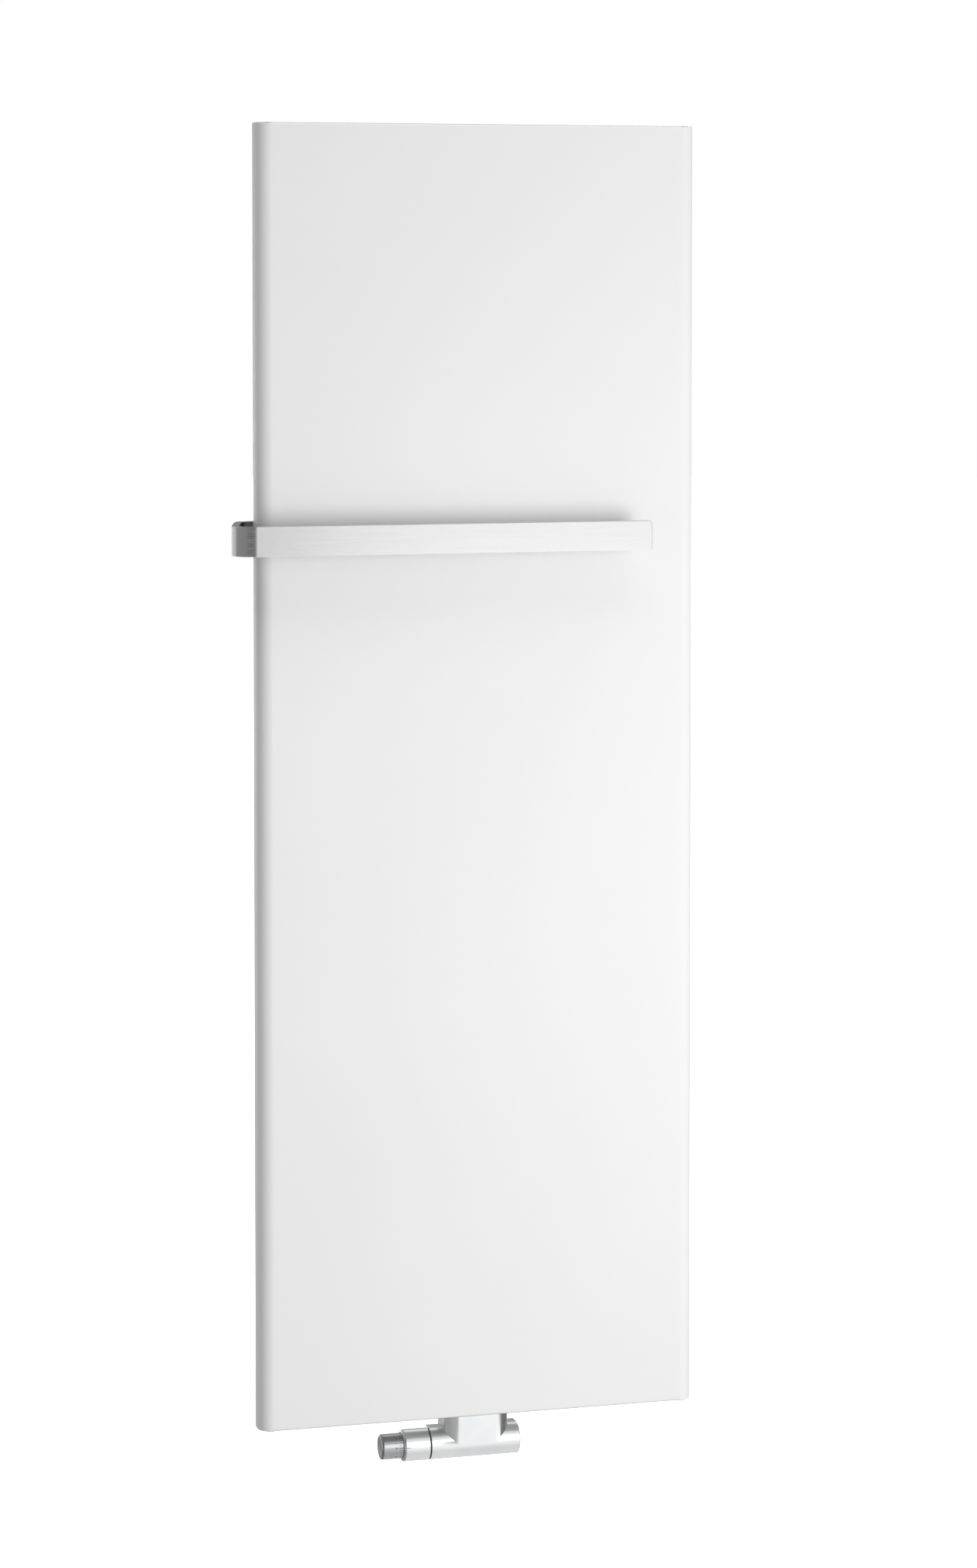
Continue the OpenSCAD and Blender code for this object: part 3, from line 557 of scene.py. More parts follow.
def setLamps():
    lamps = {"left": 0.2, "right": 2.25, "low": -0.94, "high": 0.35, "front": -2.3, "softbox": 1.2, "fill": 24,
             "fillPlace": (1.5, -2.4, 0), "fillAim": (0.1, 0, 0), "fillSize": (1.2, 1.8), "overhead": 2.1,
             "overheadSpread": 70}
    wide, tall = lamps["right"] - lamps["left"], lamps["high"] - lamps["low"]
    x, z = (lamps["left"] + lamps["right"]) / 2, (lamps["low"] + lamps["high"]) / 2
    power = lamps["softbox"] * math.pi * wide * tall
    addLamp("frontSoftbox", (x, lamps["front"], z), (x, 0, z), (wide, tall), power)
    # diffuse light from the right, not seen in the metal
    fill = addLamp("rightFill", lamps["fillPlace"], lamps["fillAim"], lamps["fillSize"], lamps["fill"])
    # overhead light for the floor, kept out of reflections
    clearSelection()
    bpy.ops.object.light_add(type="SUN", location=(0, 0, 4))
    overhead = nameNew("overheadLight")
    overhead.data.energy = lamps["overhead"]
    overhead.data.angle = math.radians(lamps["overheadSpread"])
    fill.visible_glossy = overhead.visible_glossy = False


bpy.context.scene.view_settings.view_transform = "Standard"
setCamera()
setBackdrop()
setSky()
setLamps()
print("camera, floor and light are set")


def makeFrontPanel():
    panel = {"sheet": 2.0, "sideRadius": 20.0, "sideFlat": 13.5, "rollSteps": 20, "foldRadius": 3.0,
             "foldDepth": 16.0, "foldSteps": 6, "edgeBreak": 0.35, "cornerReach": 0.15, "backReach": (0.4, 0.12, 0.6)}
    low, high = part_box("front_panel")
    front, fold = low.y / mm, panel["foldRadius"]
    flat, foldZ = high.x / mm - panel["sideRadius"], high.z / mm - fold
    clearSelection()
    bpy.ops.mesh.primitive_plane_add(size=1, location=(0, front * mm, 0), rotation=(math.radians(90), 0, 0))
    sheet = nameNew("frontSheet")
    sheet.scale = (2 * flat * mm, high.z - low.z, 1)
    editPiece(placeInMesh(sheet))
    for side in (1, -1):
        cutAcross((0, 0, side * foldZ), (0, 0, side))
    for side in (-1, 1):
        # roll the side round and run it back
        pick("edges", lambda mid, run: abs(mid.x - side * flat) < 0.1 and abs(run.z) > 1)
        spinOut(panel["rollSteps"], 90, (side * flat, front + panel["sideRadius"], 0), (0, 0, -side))
        drawOut((0, panel["sideFlat"], 0), "edges")
    pick("faces", lambda mid, normal: abs(mid.x) < 1 and abs(mid.z) > foldZ - 0.1)
    bpy.ops.mesh.delete(type="FACE")
    for side in (1, -1):
        # fold the end back
        pick("edges", lambda mid, run: abs(mid.z - side * foldZ) < 0.1 and abs(mid.x) < 1 and abs(run.x) > 1)
        spinOut(panel["foldSteps"], 90, (0, front + fold, side * foldZ), (side, 0, 0))
        drawOut((0, panel["foldDepth"] - fold, 0), "edges")
    leaveEdit()
    cleanMesh(sheet)
    # the front has to face -Y before the wall gets its thickness
    if max(sheet.data.polygons, key=lambda face: face.area).normal.y > 0:
        flipFaces(sheet)
    modify(sheet, "SOLIDIFY", thickness=panel["sheet"] * mm, offset=-1, use_even_offset=True)
    # the wall's corners behind the fold are set square, so that the back of the front stays in one plane
    inner = Vector(inMetres((flat, front + panel["sheet"], foldZ)))
    for vert in sheet.data.vertices:
        if (Vector((abs(vert.co.x), vert.co.y, abs(vert.co.z))) - inner).length < panel["cornerReach"] * mm:
            vert.co = (math.copysign(inner.x, vert.co.x), inner.y, math.copysign(inner.z, vert.co.z))
    softenEdges(sheet, panel["edgeBreak"], 2, 50, loop_slide=False)
    nearX, nearY, nearZ = inMetres(panel["backReach"])
    for vert in sheet.data.vertices:
        x, y, z = abs(vert.co.x), vert.co.y, abs(vert.co.z)
        if x < inner.x + nearX and abs(y - inner.y) < nearY and z < inner.z + nearZ:
            vert.co.y = inner.y
    dress(sheet, "white_enamel", "front_panel")


makeFrontPanel()
print("front panel done")


def makeTowelRail():
    bar = {"thick": 10.0, "bendRadius": 30.0, "slant": 14.2, "cornerRadius": 5.0, "cornerSteps": 8, "edgeBreak": 0.7,
           "bendSteps": 20, "rearEnd": -89.7, "hole": 3.1, "sink": 6.0, "sinkEdge": 1.1, "grainStart": 700,
           "grainSkew": 1.7, "innerShadeEnd": -240, "highlightFrom": 0.05, "highlightTo": 0.65}
    low, high = boxOf("towel_rail")
    middleZ, height = middleOf("towel_rail")[2], high.z - low.z
    front, back, left, right = low.y, high.y, low.x, high.x
    radius, thick, slant = bar["bendRadius"], bar["thick"], math.radians(bar["slant"])
    firstBend = Vector((left + radius, front + radius, middleZ))
    leg = (back - radius - firstBend.y) / math.cos(slant)
    along = Vector((math.sin(slant), math.cos(slant), 0))
    secondBend = firstBend + along * leg
    # the bar's section at the free end, drawn out along the bar
    clearSelection()
    bpy.ops.mesh.primitive_plane_add(size=1, location=inMetres((right, front + thick / 2, middleZ)),
                                     rotation=(0, math.radians(90), 0))
    rail = nameNew("towelRail")
    rail.scale = inMetres((height, thick, 1000))
    editPiece(placeInMesh(rail))
    drawOut((firstBend.x - right, 0, 0))
    spinOut(bar["bendSteps"], 90 + bar["slant"], firstBend, (0, 0, 1))
    drawOut(along * leg)
    spinOut(bar["bendSteps"], 90 - bar["slant"], secondBend, (0, 0, 1))
    drawOut((bar["rearEnd"] - secondBend.x, 0, 0))
    leaveEdit()
    cleanMesh(rail)
    # the free end's upper and lower corners are rounded
    roundEdges(rail, lambda mid, run: abs(mid.x - right) < 0.1 and abs(run.y) > 1,
               bar["cornerRadius"], bar["cornerSteps"])
    # two countersunk holes through the rear leg
    screwLow, screwHigh = boxOf("rail_screws")
    for x in (screwLow.x + bar["sink"], screwHigh.x - bar["sink"]):
        outline = [(back - thick - 1, 0), (back - thick - 1, bar["hole"]), (back - bar["hole"], bar["hole"]),
                   (back + 1, bar["sink"] + bar["sinkEdge"]), (back + 1, 0)]
        cutOut(rail, turnOnLathe("countersink", outline, (0, 1, 0), (x, 0, middleZ), 64))
    softenEdges(rail, bar["edgeBreak"], 3, 60)
    arc = radius - thick / 2

    def onBar(spot):
        # the way along the bar and the distance from the bends' centre line
        first, second = (spot - firstBend).xy, (spot - secondBend).xy
        if spot.x >= firstBend.x and spot.y < firstBend.y:
            return firstBend.x - spot.x, -first.y
        if first.dot(along.xy) <= 0:
            return math.atan2(-first.x, -first.y) * arc, first.length
        bent = (math.pi / 2 + slant) * arc
        out = second.x * along.y - second.y * along.x
        if second.dot(along.xy) <= 0:
            return bent + first.dot(along.xy), first.y * along.x - first.x * along.y
        if spot.x <= secondBend.x:
            return bent + leg + math.atan2(second.dot(along.xy), -out) * arc, second.length
        return bent + leg + (math.pi / 2 - slant) * arc + second.x, second.y

    # the grain runs along the bar: u is the way along it, v the way round its section, both in metres
    spots = [vert.co / mm for vert in rail.data.vertices]
    places = [onBar(spot) for spot in spots]
    layer = rail.data.uv_layers.new(name="alongBar")
    for loop in rail.data.loops:
        u, out = places[loop.vertex_index]
        z = spots[loop.vertex_index].z - middleZ
        layer.data[loop.index].uv = ((u + bar["grainStart"]) * mm, (z + bar["grainSkew"] * out) * mm)
    mill, edgeHighlight = [rail.data.attributes.new(name, "FLOAT", "POINT") for name in ("paintedInnerShade", "paintedEdgeHighlight")]
    for index, (u, out) in enumerate(places):
        edge = height / 2 - abs(spots[index].z - middleZ)
        side = min(radius - out, out - radius + thick)
        # painted shade: the inner faces towards the panel are painted dark
        mill.data[index].value = out < radius - thick + 0.1 and u > bar["innerShadeEnd"]
        # painted highlight: a narrow band along the long edges is painted light
        edgeHighlight.data[index].value = bar["highlightFrom"] < side < bar["highlightTo"] and edge < bar["highlightTo"]
    dress(rail, "brushed_steel", "towel_rail", 32)


makeTowelRail()
print("towel rail done")


def makeValveCover():
    cover = {"radius": 22.0, "wall": 2.0, "riserWidth": 96.0, "endBreak": 1.2, "creaseBreak": 0.6, "spare": 3.0,
             "toolSpare": 6.0, "steps": 96, "cornerSteps": 24}
    low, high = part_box("valve_cover")
    left, right, top, back = [number / mm for number in (low.x, high.x, high.z, high.y)]
    axisY, axisZ = low.y / mm + cover["radius"], low.z / mm + cover["radius"]

    def addBody(name, inset, x0, x1, past):
        # half a round bar lying along X, drawn out to the back
        middle = ((x0 + x1) / 2, axisY, axisZ)
        body = addRound(name, cover["steps"], cover["radius"] - inset, x1 - x0, middle, (0, 90, 0))
        editPiece(body)
        cutAcross((0, axisY, 0), (0, 1, 0), clear_outer=True, use_fill=True)
        pick("faces", lambda mid, normal: normal.y > 0.9)
        drawOut((0, back + past - axisY, 0))
        leaveEdit()
        return cleanMesh(body)

    def addRiser(name, inset, z1, past):
        # stands on the axis, with front corners of the body's radius
        r = cover["radius"] - inset
        half = cover["riserWidth"] / 2 - inset
        riser = addBlock(name, (-half, axisY - r, axisZ), (half, back + past, z1))
        # a touch less than the radius keeps the corner's last edge clear of the body's own edge
        return cleanMesh(roundEdges(riser, lambda mid, run: mid.y < axisY and abs(run.z) > 1,
                                    r * 0.9999, cover["cornerSteps"]))

    # built too deep, then cut off at the back, so that the softened creases run out cleanly
    spare, wall, toolSpare = cover["spare"], cover["wall"], cover["toolSpare"]
    shell = addBody("valveCover", 0, left, right, spare)
    roundEdges(shell, lambda mid, run: abs(mid.x - right) < 0.01 and mid.y < back + spare - 0.1,
               cover["endBreak"], 4)
    fuse(shell, addRiser("riserForm", 0, top, spare))
    hollow = addBody("hollowForm", wall, left - 2, right - wall, toolSpare)
    fuse(hollow, addRiser("riserHollow", wall, top + 2, toolSpare))
    cleanMesh(cutOut(shell, hollow), 0.02)
    softenEdges(shell, cover["creaseBreak"], 3, 28)
    editPiece(shell)
    cutAcross((0, back, 0), (0, 1, 0), clear_outer=True, use_fill=True)
    leaveEdit()
    dress(cleanMesh(shell, 0.02), "satin_chrome", "valve_cover", 24)


makeValveCover()
print("valve cover done")


headAxis = {"y": -70.0, "z": -943.0}


def turnOnHead(name, start, left, rim, end):
    # a shell round the head's axis, with a rounded rim at its outer end
    r, edge = rim
    outline = start + [(left + edge + a, r - edge + b) for a, b in arcPoints((0, 0), edge, 180, 90, 8)] + end
    return turnOnLathe(name, outline, (1, 0, 0), (0, headAxis["y"], headAxis["z"]))


def makeCollar():
    collar = {"radius": 22.0, "wall": 1.5, "rim": 3.5, "hole": 17.8, "floor": 3.0, "edge": 0.3}
    left, right = [corner.x for corner in boxOf("collar")]
    r, hole, edge = collar["radius"], collar["hole"], collar["edge"]
    inner, floor = r - collar["wall"], left + collar["floor"]
    end = [(right - edge, r), (right, r - edge), (right, inner), (floor, inner), (floor, hole), (left + edge, hole),
           (left, hole + edge)]
    ring = turnOnHead("collarRing", [(left, hole + edge)], left, (r, collar["rim"]), end)
    dress(ring, "satin_chrome", "collar", 28)


def makeKnob():
    knob = {"radius": 17.5, "wall": 2.0, "rim": 3.0, "dome": ((0.5, 0), (0.4, 6), (0.15, 11)), "face": 3.0,
            "edge": 0.3}
    left, right = [corner.x for corner in boxOf("knob")]
    r, edge = knob["radius"], knob["edge"]
    inner, face = r - knob["wall"], left + knob["face"]
    start = [(left + deep, out) for deep, out in knob["dome"]]
    end = [(right - edge, r), (right, r - edge), (right, inner), (face, inner), (face, 0.0)]
    dress(turnOnHead("knobShell", start, left, (r, knob["rim"]), end), "dark_chrome", "knob", 28, "knob")


def wrapOnHead(piece, x, angle, radius, lift):
    # bends a flat mark round the head: its X stays, its Y (upwards) runs round the axis
    takeActive(piece)
    for vert in piece.data.vertices:
        turn = math.radians(angle) + vert.co.y / mm / radius
        reach = radius + lift + vert.co.z / mm
        vert.co = Vector((x + vert.co.x / mm, headAxis["y"] - reach * math.cos(turn),
                          headAxis["z"] + reach * math.sin(turn))) * mm
    return piece


def makeStroke(name, length, width, depth):
    # thin bar along X, in slices so that it can bend
    stroke = addBlock(name, (0, -width / 2, -depth), (length, width / 2, 0))
    editPiece(stroke)
    pick("edges", lambda mid, run: abs(run.y) > 0.9 * width)
    bpy.ops.mesh.subdivide(number_cuts=2)
    leaveEdit()
    return stroke


def makeDigit(value, size, depth):
    # plain number, its head towards the collar
    digit = {"textSize": 1.4, "heavier": 0.06, "slice": 0.28, "slices": 6}
    clearSelection()
    bpy.ops.object.text_add(location=(0, 0, 0))
    text = nameNew("digit").data
    text.body = str(value)
    text.size = size * mm * digit["textSize"]
    text.align_x = text.align_y = "CENTER"
    text.extrude = depth / 2 * mm
    text.offset = digit["heavier"] * mm
    bpy.ops.object.convert(target="MESH")
    piece = bpy.context.object
    piece.rotation_euler = (0, 0, math.radians(-90))
    editPiece(placeInMesh(piece))
    for i in range(-digit["slices"], digit["slices"] + 1):
        cutAcross((0, i * digit["slice"], 0), (0, 1, 0))
    bpy.ops.mesh.select_all(action="SELECT")
    bpy.ops.mesh.remove_doubles(threshold=0.001 * mm)
    leaveEdit()
    return piece


def makeDot(radius, depth):
    dot = addRound("dot", 20, radius, depth, (0, 0, -depth / 2))
    editPiece(dot)
    pick("faces", lambda mid, normal: normal.z > 0.9)
    bpy.ops.mesh.inset(thickness=radius * 0.3 * mm)
    leaveEdit()
    return dot


def makeScale():
    scale = {"pointerAngle": 4.7, "step": 11.25, "digitStep": 45.0, "atPointer": 3, "digits": 6, "digitSize": 3.2,
             "digitX": -116.0, "tickX": -111.4, "tickLength": 3.8, "tickWide": 0.4675, "longTick": 5.6,
             "longWide": 0.6875, "shortSetBack": 0.6, "depth": 0.16, "lift": 0.03, "pointerX": -102.6,
             "pointerLength": 5.6, "pointerWidth": 0.7, "knobRadius": 17.5, "collarRadius": 22.0, "dotRadius": 0.5}
    r, depth, lift, digitX = scale["knobRadius"], scale["depth"], scale["lift"], scale["digitX"]
    marks = []
    last = scale["digits"] - 1
    perDigit = int(scale["digitStep"] / scale["step"])
    start = scale["pointerAngle"] - (last - scale["atPointer"]) * scale["digitStep"]
    for i in range(last * perDigit + 1):
        angle = start + i * scale["step"]
        if i % perDigit == 0:
            tick = makeStroke("tick", scale["longTick"], scale["longWide"], depth)
            marks.append(wrapOnHead(tick, scale["tickX"], angle, r, lift))
            digit = makeDigit(last - i // perDigit, scale["digitSize"], depth)
            marks.append(wrapOnHead(digit, digitX, angle, r, lift - depth / 2))
            continue
        tick = makeStroke("tick", scale["tickLength"], scale["tickWide"], depth)
        marks.append(wrapOnHead(tick, scale["tickX"] + scale["shortSetBack"], angle, r, lift))
        if i % perDigit == perDigit // 2:
            marks.append(wrapOnHead(makeDot(scale["dotRadius"], depth), digitX, angle, r, lift))
    numbers = joinInto(marks[0], marks[1:])
    numbers.name = numbers.data.name = "knobScale"
    editPiece(numbers)
    bpy.ops.mesh.normals_make_consistent(inside=False)
    leaveEdit()
    dress(numbers, "dark_chrome", body="knob", finish=scaleInk)
    pointer = makeStroke("collarPointer", scale["pointerLength"], scale["pointerWidth"], depth)
    wrapOnHead(pointer, scale["pointerX"], scale["pointerAngle"], scale["collarRadius"], lift)
    dress(cleanMesh(pointer, 0.001), "satin_chrome", finish=scaleInk)


makeCollar()
makeScale()
makeKnob()
print("collar and knob done")


def copyNode(node, breakWidth):
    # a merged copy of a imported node, with its edges broken
    clearSelection()
    piece = bpy.data.objects.new(nameFrom(node), frame["nodes"][node].data.copy())
    bpy.context.collection.objects.link(piece)
    piece.data.name = piece.name
    editPiece(piece)
    bpy.ops.mesh.remove_doubles(threshold=0.002 * mm)
    bpy.ops.mesh.dissolve_limited(angle_limit=math.radians(1))
    leaveEdit()
    return softenEdges(piece, breakWidth, 2)


def makeWeld(name, start, end, radius):
    # bead along X with low ripples, drawn in at both ends
    weld = {"sides": 12, "pitch": 2.6, "ripple": 0.84, "tip": 0.45}
    middle, length = [(a + b) / 2 for a, b in zip(start, end)], end[0] - start[0]
    rings = int(length / weld["pitch"])
    bead = addRound(name, weld["sides"], radius, length, middle, (0, 90, 0))
    editPiece(bead)
    pick("edges", lambda mid, run: abs(run.x) > length * 0.9)
    bpy.ops.mesh.subdivide(number_cuts=rings - 1)
    for test, size in ((lambda place: round((place.x - start[0]) / length * rings) % 2 == 1, weld["ripple"]),
                       (lambda place: abs(place.x - middle[0]) > length / 2 - 0.1, weld["tip"])):
        pick("verts", test)
        bpy.ops.transform.resize(value=(1, size, size), center_override=inMetres(middle))
    leaveEdit()
    return bead


tubePitch = boxOf("water_tube_2")[0].x - boxOf("water_tube_1")[0].x
tubeCount = 8


def makeWaterTubes():
    # flat tubes with round edges and closed ends
    tube = {"flatEdge": 0.25, "endInset": 2.2, "endDip": 0.9, "endBreak": 0.8}
    low, high = boxOf("water_tube_1")
    first = addBlock("waterTube1", low, high)
    roundEdges(first, lambda mid, run: abs(run.z) > 100, (high.y - low.y) / 2 - tube["flatEdge"], 10)
    editPiece(first)
    pick("faces", lambda mid, normal: abs(normal.z) > 0.9)
    bpy.ops.mesh.inset(thickness=tube["endInset"] * mm, depth=0, use_individual=True)
    bpy.ops.mesh.inset(thickness=tube["endDip"] * mm, depth=-tube["endDip"] * mm, use_individual=True)
    leaveEdit()
    softenEdges(first, tube["endBreak"], 2, 50)
    tubes = [first]
    tubes += [copyPiece(first, f"waterTube{i + 1}", (i * tubePitch, 0, 0)) for i in range(1, tubeCount)]
    for i, piece in enumerate(tubes):
        dress(piece, "white_enamel", f"water_tube_{i + 1}")


def makeHeader(node):
    # square tube welded across the backs of the water tubes
    header = {"corner": 4.0, "endBreak": 0.8, "weldRadius": 2.6, "weldLength": 52, "weldIn": 0.9, "weldUp": 0.6}
    low, high = boxOf(node)
    bar = addBlock(nameFrom(node), low, high)
    roundEdges(bar, lambda mid, run: abs(run.x) > 100, header["corner"])
    softenEdges(bar, header["endBreak"], 2, 50)
    firstX, half, y = middleOf("water_tube_1")[0], header["weldLength"] / 2, low.y + header["weldIn"]
    welds = []
    for z in (low.z + header["weldUp"], high.z - header["weldUp"]):
        bead = makeWeld("tubeWeld", (firstX - half, y, z), (firstX + half, y, z), header["weldRadius"])
        welds += [bead] + [copyPiece(bead, "tubeWeld", (i * tubePitch, 0, 0)) for i in range(1, tubeCount)]
    dress(joinInto(bar, welds), "white_enamel", node, 50)


def makeEndCaps():
    caps = {"thick": 3.0, "corner": 4.0, "weldCorner": 4.3, "edgeBreak": 0.9, "weldWide": 3.0, "weldProud": 0.5}
    low, high = boxOf("header_end_caps")
    headerLow, headerHigh = boxOf("top_header")
    size, proud, half = headerHigh.z - headerLow.z, caps["weldProud"], caps["weldWide"] / 2
    plates = []
    for z in (low.z, high.z - size):
        for seam, x in ((low.x + caps["thick"], low.x), (high.x - caps["thick"], high.x - caps["thick"])):
            plate = addBlock("headerEndCaps", (x, low.y, z), (x + caps["thick"], high.y, z + size))
            band = addBlock("capWeld", (seam - half, low.y + 0.02, z - proud),
                            (seam + half, high.y + proud, z + size + proud))
            for part, corner, edge, steps in ((plate, caps["corner"], caps["edgeBreak"], 3),
                                              (band, caps["weldCorner"], half * 0.8, 4)):
                roundEdges(part, lambda mid, run: abs(run.x) > 1, corner)
                softenEdges(part, edge, steps, 50)
            plates += [plate, band]
    dress(joinInto(plates[0], plates[1:]), "white_enamel", "header_end_caps", 50)


makeWaterTubes()
makeHeader("top_header")
makeHeader("bottom_header")
makeEndCaps()
print("water tubes and headers done")


socketRadius = 14.5


def makeSocket(name, x, y, low, high, weldAt):
    # screwed socket with a weld bead at its foot
    socket = {"bore": 10.5, "edge": 0.6, "bead": 2.2, "proud": 1.1}
    r, bore, edge, centre = socketRadius, socket["bore"], socket["edge"], (x, y, 0)
    outline = [(low, bore + edge), (low, r - edge), (low + edge, r), (high - edge, r), (high, r - edge),
               (high, bore + edge), (high - edge, bore), (low + edge, bore), (low, bore + edge)]
    ring = turnOnLathe(name, outline, (0, 0, 1), centre, 64)
    foot, tall = (low, socket["bead"]) if weldAt == "low" else (high, -socket["bead"])
    bead = [(foot, r - 1), (foot, r + socket["proud"]), (foot + tall * 0.5, r + socket["proud"] * 0.7),
            (foot + tall, r - 0.1), (foot + tall, r - 1), (foot, r - 1)]
    return joinInto(ring, [turnOnLathe("socketWeld", bead, (0, 0, 1), centre, 64)])


def makeSockets():
    low, high = boxOf("vent_sockets")
    reach, y = high.x - socketRadius, middleOf("vent_sockets")[1]
    pair = [makeSocket("ventSockets", x, y, low.z, high.z, "low") for x in (-reach, reach)]
    dress(joinInto(pair[0], pair[1:]), "white_enamel", "vent_sockets", 40)
    for node in ("supply_socket", "return_socket"):
        low, high = boxOf(node)
        piece = makeSocket(nameFrom(node), *middleOf(node)[:2], low.z, high.z, "high")
        dress(piece, "white_enamel", node, 40)


def makeHexagon(name, centre, across, low, high, topChamfer=True, lowChamfer=False):
    # hexagon about Z with its corners turned off
    hexagon = {"flatShare": 0.94, "chamfer": 30, "clear": 0.05, "steps": 72}
    corner = across / math.sqrt(3)
    x, y = centre[:2]
    piece = addRound(name, 6, corner, high - low, (x, y, (low + high) / 2), (0, 0, 30))
    cut = corner - across / 2 * hexagon["flatShare"]
    fall = cut * math.tan(math.radians(hexagon["chamfer"]))
    r = corner + hexagon["clear"]
    outline = [(low, 0)] + ([(low, r - cut), (low + fall, r)] if lowChamfer else [(low, r)])
    outline += ([(high - fall, r), (high, r - cut)] if topChamfer else [(high, r)]) + [(high, 0)]
    return combine(piece, turnOnLathe("cornerTurn", outline, (0, 0, 1), (x, y, 0), hexagon["steps"]), "INTERSECT")


def makePlugs():
    plug = {"across": 24.0, "height": 5.0, "thread": 10.4, "keyHole": 8.0, "keyDeep": 3, "bleedHole": 4.56,
            "sprayHole": 1.0, "edgeBreak": 0.25}
    up = (0, 0, 1)
    for node in ("vent_plug", "blind_plug"):
        low, high = boxOf(node)
        x, y = middleOf(node)[:2]
        seat = high.z - plug["height"]
        head = makeHexagon(nameFrom(node), (x, y), plug["across"], seat, high.z)
        fuse(head, addRod(up, (x, y, 0), low.z, seat + 1, plug["thread"]))
        if node == "vent_plug":
            drill(head, up, (x, y, 0), seat - plug["keyDeep"], high.z + 1, plug["bleedHole"])
            drill(head, (0, 1, 0), (x, 0, seat + plug["height"] / 2), y - 20, y, plug["sprayHole"], 24)
        else:
            cutOut(head, makeHexagon("keyHole", (x, y), plug["keyHole"], high.z - plug["keyDeep"], high.z + 1, False))
        softenEdges(cleanMesh(head), plug["edgeBreak"], 2, 30)
        dress(head, "nickel", node)


def makeBleedScrew():
    screw = {"height": 8.0, "stem": 4.5, "stemEnd": 3.7, "neck": 3.9, "neckAt": 4.0, "neckEnd": 5.3, "head": 3.7,
             "headAt": 5.5, "square": 5.0, "edgeBreak": 0.3}
    low, high = boxOf("bleed_screw")
    x, y = middleOf("bleed_screw")[:2]
    seat, r, neck, half = high.z - screw["height"], screw["stem"], screw["neck"], screw["square"] / 2
    stemEnd, neckAt, neckEnd, headAt = [seat + screw[way] for way in ("stemEnd", "neckAt", "neckEnd", "headAt")]
    outline = [(low.z, 0), (low.z, r), (stemEnd, r), (neckAt, r - 0.3), (neckAt, neck), (neckEnd, neck),
               (headAt, screw["head"]), (headAt, 0)]
    piece = turnOnLathe("bleedScrew", outline, (0, 0, 1), (x, y, 0), 48)
    fuse(piece, addBlock("keySquare", (x - half, y - half, seat + 5), (x + half, y + half, high.z)))
    softenEdges(piece, screw["edgeBreak"], 2, 40)
    dress(piece, "brass", "bleed_screw", 35, "bleed_screw")


makeSockets()
makePlugs()
makeBleedScrew()
print("sockets, vent and plug done")


def makeHangerLugs():
    # bent channels with a slot for the bracket's arm
    lug = {"wide": 40.0, "sheet": 3.0, "tall": 76.0, "bend": 5.0, "slotWide": 26.0, "slotTall": 28.0, "slotTop": 30.0,
           "slotCorner": 4.0, "edgeBreak": 0.5, "weldLength": 60, "weldRadius": 1.8, "weldOut": 0.4, "weldIn": 0.7}
    low, high = boxOf("hanger_lugs")
    x0, z0, front, back = low.x, low.z, low.y, high.y
    r, wide, tall = lug["bend"], lug["wide"], lug["tall"]
    outer = [(x0, front)] + arcPoints((x0 + r, back - r), r, 180, 90, 6)
    outer += arcPoints((x0 + wide - r, back - r), r, 90, 0, 6) + [(x0 + wide, front)]
    first = traceLine("hangerLugs", [(x, y, z0) for x, y in outer])
    bpy.ops.mesh.select_all(action="SELECT")
    drawOut((0, 0, tall), "edges")
    leaveEdit()
    cleanMesh(first, 0.001)
    # the faces point away from the middle of the channel
    if max(first.data.polygons, key=lambda face: face.center.y).normal.y < 0:
        flipFaces(first)
    modify(first, "SOLIDIFY", thickness=lug["sheet"] * mm, offset=-1, use_even_offset=True)
    middle, slotTop = x0 + wide / 2, z0 + tall - lug["slotTop"]
    slot = addBlock("slotForm", (middle - lug["slotWide"] / 2, back - lug["sheet"] - 2, slotTop - lug["slotTall"]),
                    (middle + lug["slotWide"] / 2, back + 2, slotTop))
    roundEdges(slot, lambda mid, run: abs(run.y) > 1 and mid.z < slotTop - 5, lug["slotCorner"], 5)
    softenEdges(cutOut(first, slot), lug["edgeBreak"], 2, 40)
    # a weld down each side, against the water tube
    welds = []
    half, y = lug["weldLength"] / 2, front + lug["weldIn"]
    for x in (x0 + lug["weldOut"], x0 + wide - lug["weldOut"]):
        bead = makeWeld("lugWeld", (-half, y, 0), (half, y, 0), lug["weldRadius"])
        bead.rotation_euler = (0, math.radians(90), 0)
        bead.location = inMetres((x, 0, z0 + tall / 2))
        welds.append(placeInMesh(bead))
    joinInto(first, welds)
    dx, dz = high.x - low.x - wide, high.z - low.z - tall
    others = [copyPiece(first, "hangerLug", shift) for shift in ((dx, 0, 0), (0, 0, dz), (dx, 0, dz))]
    dress(joinInto(first, others), "white_enamel", "hanger_lugs", 40)


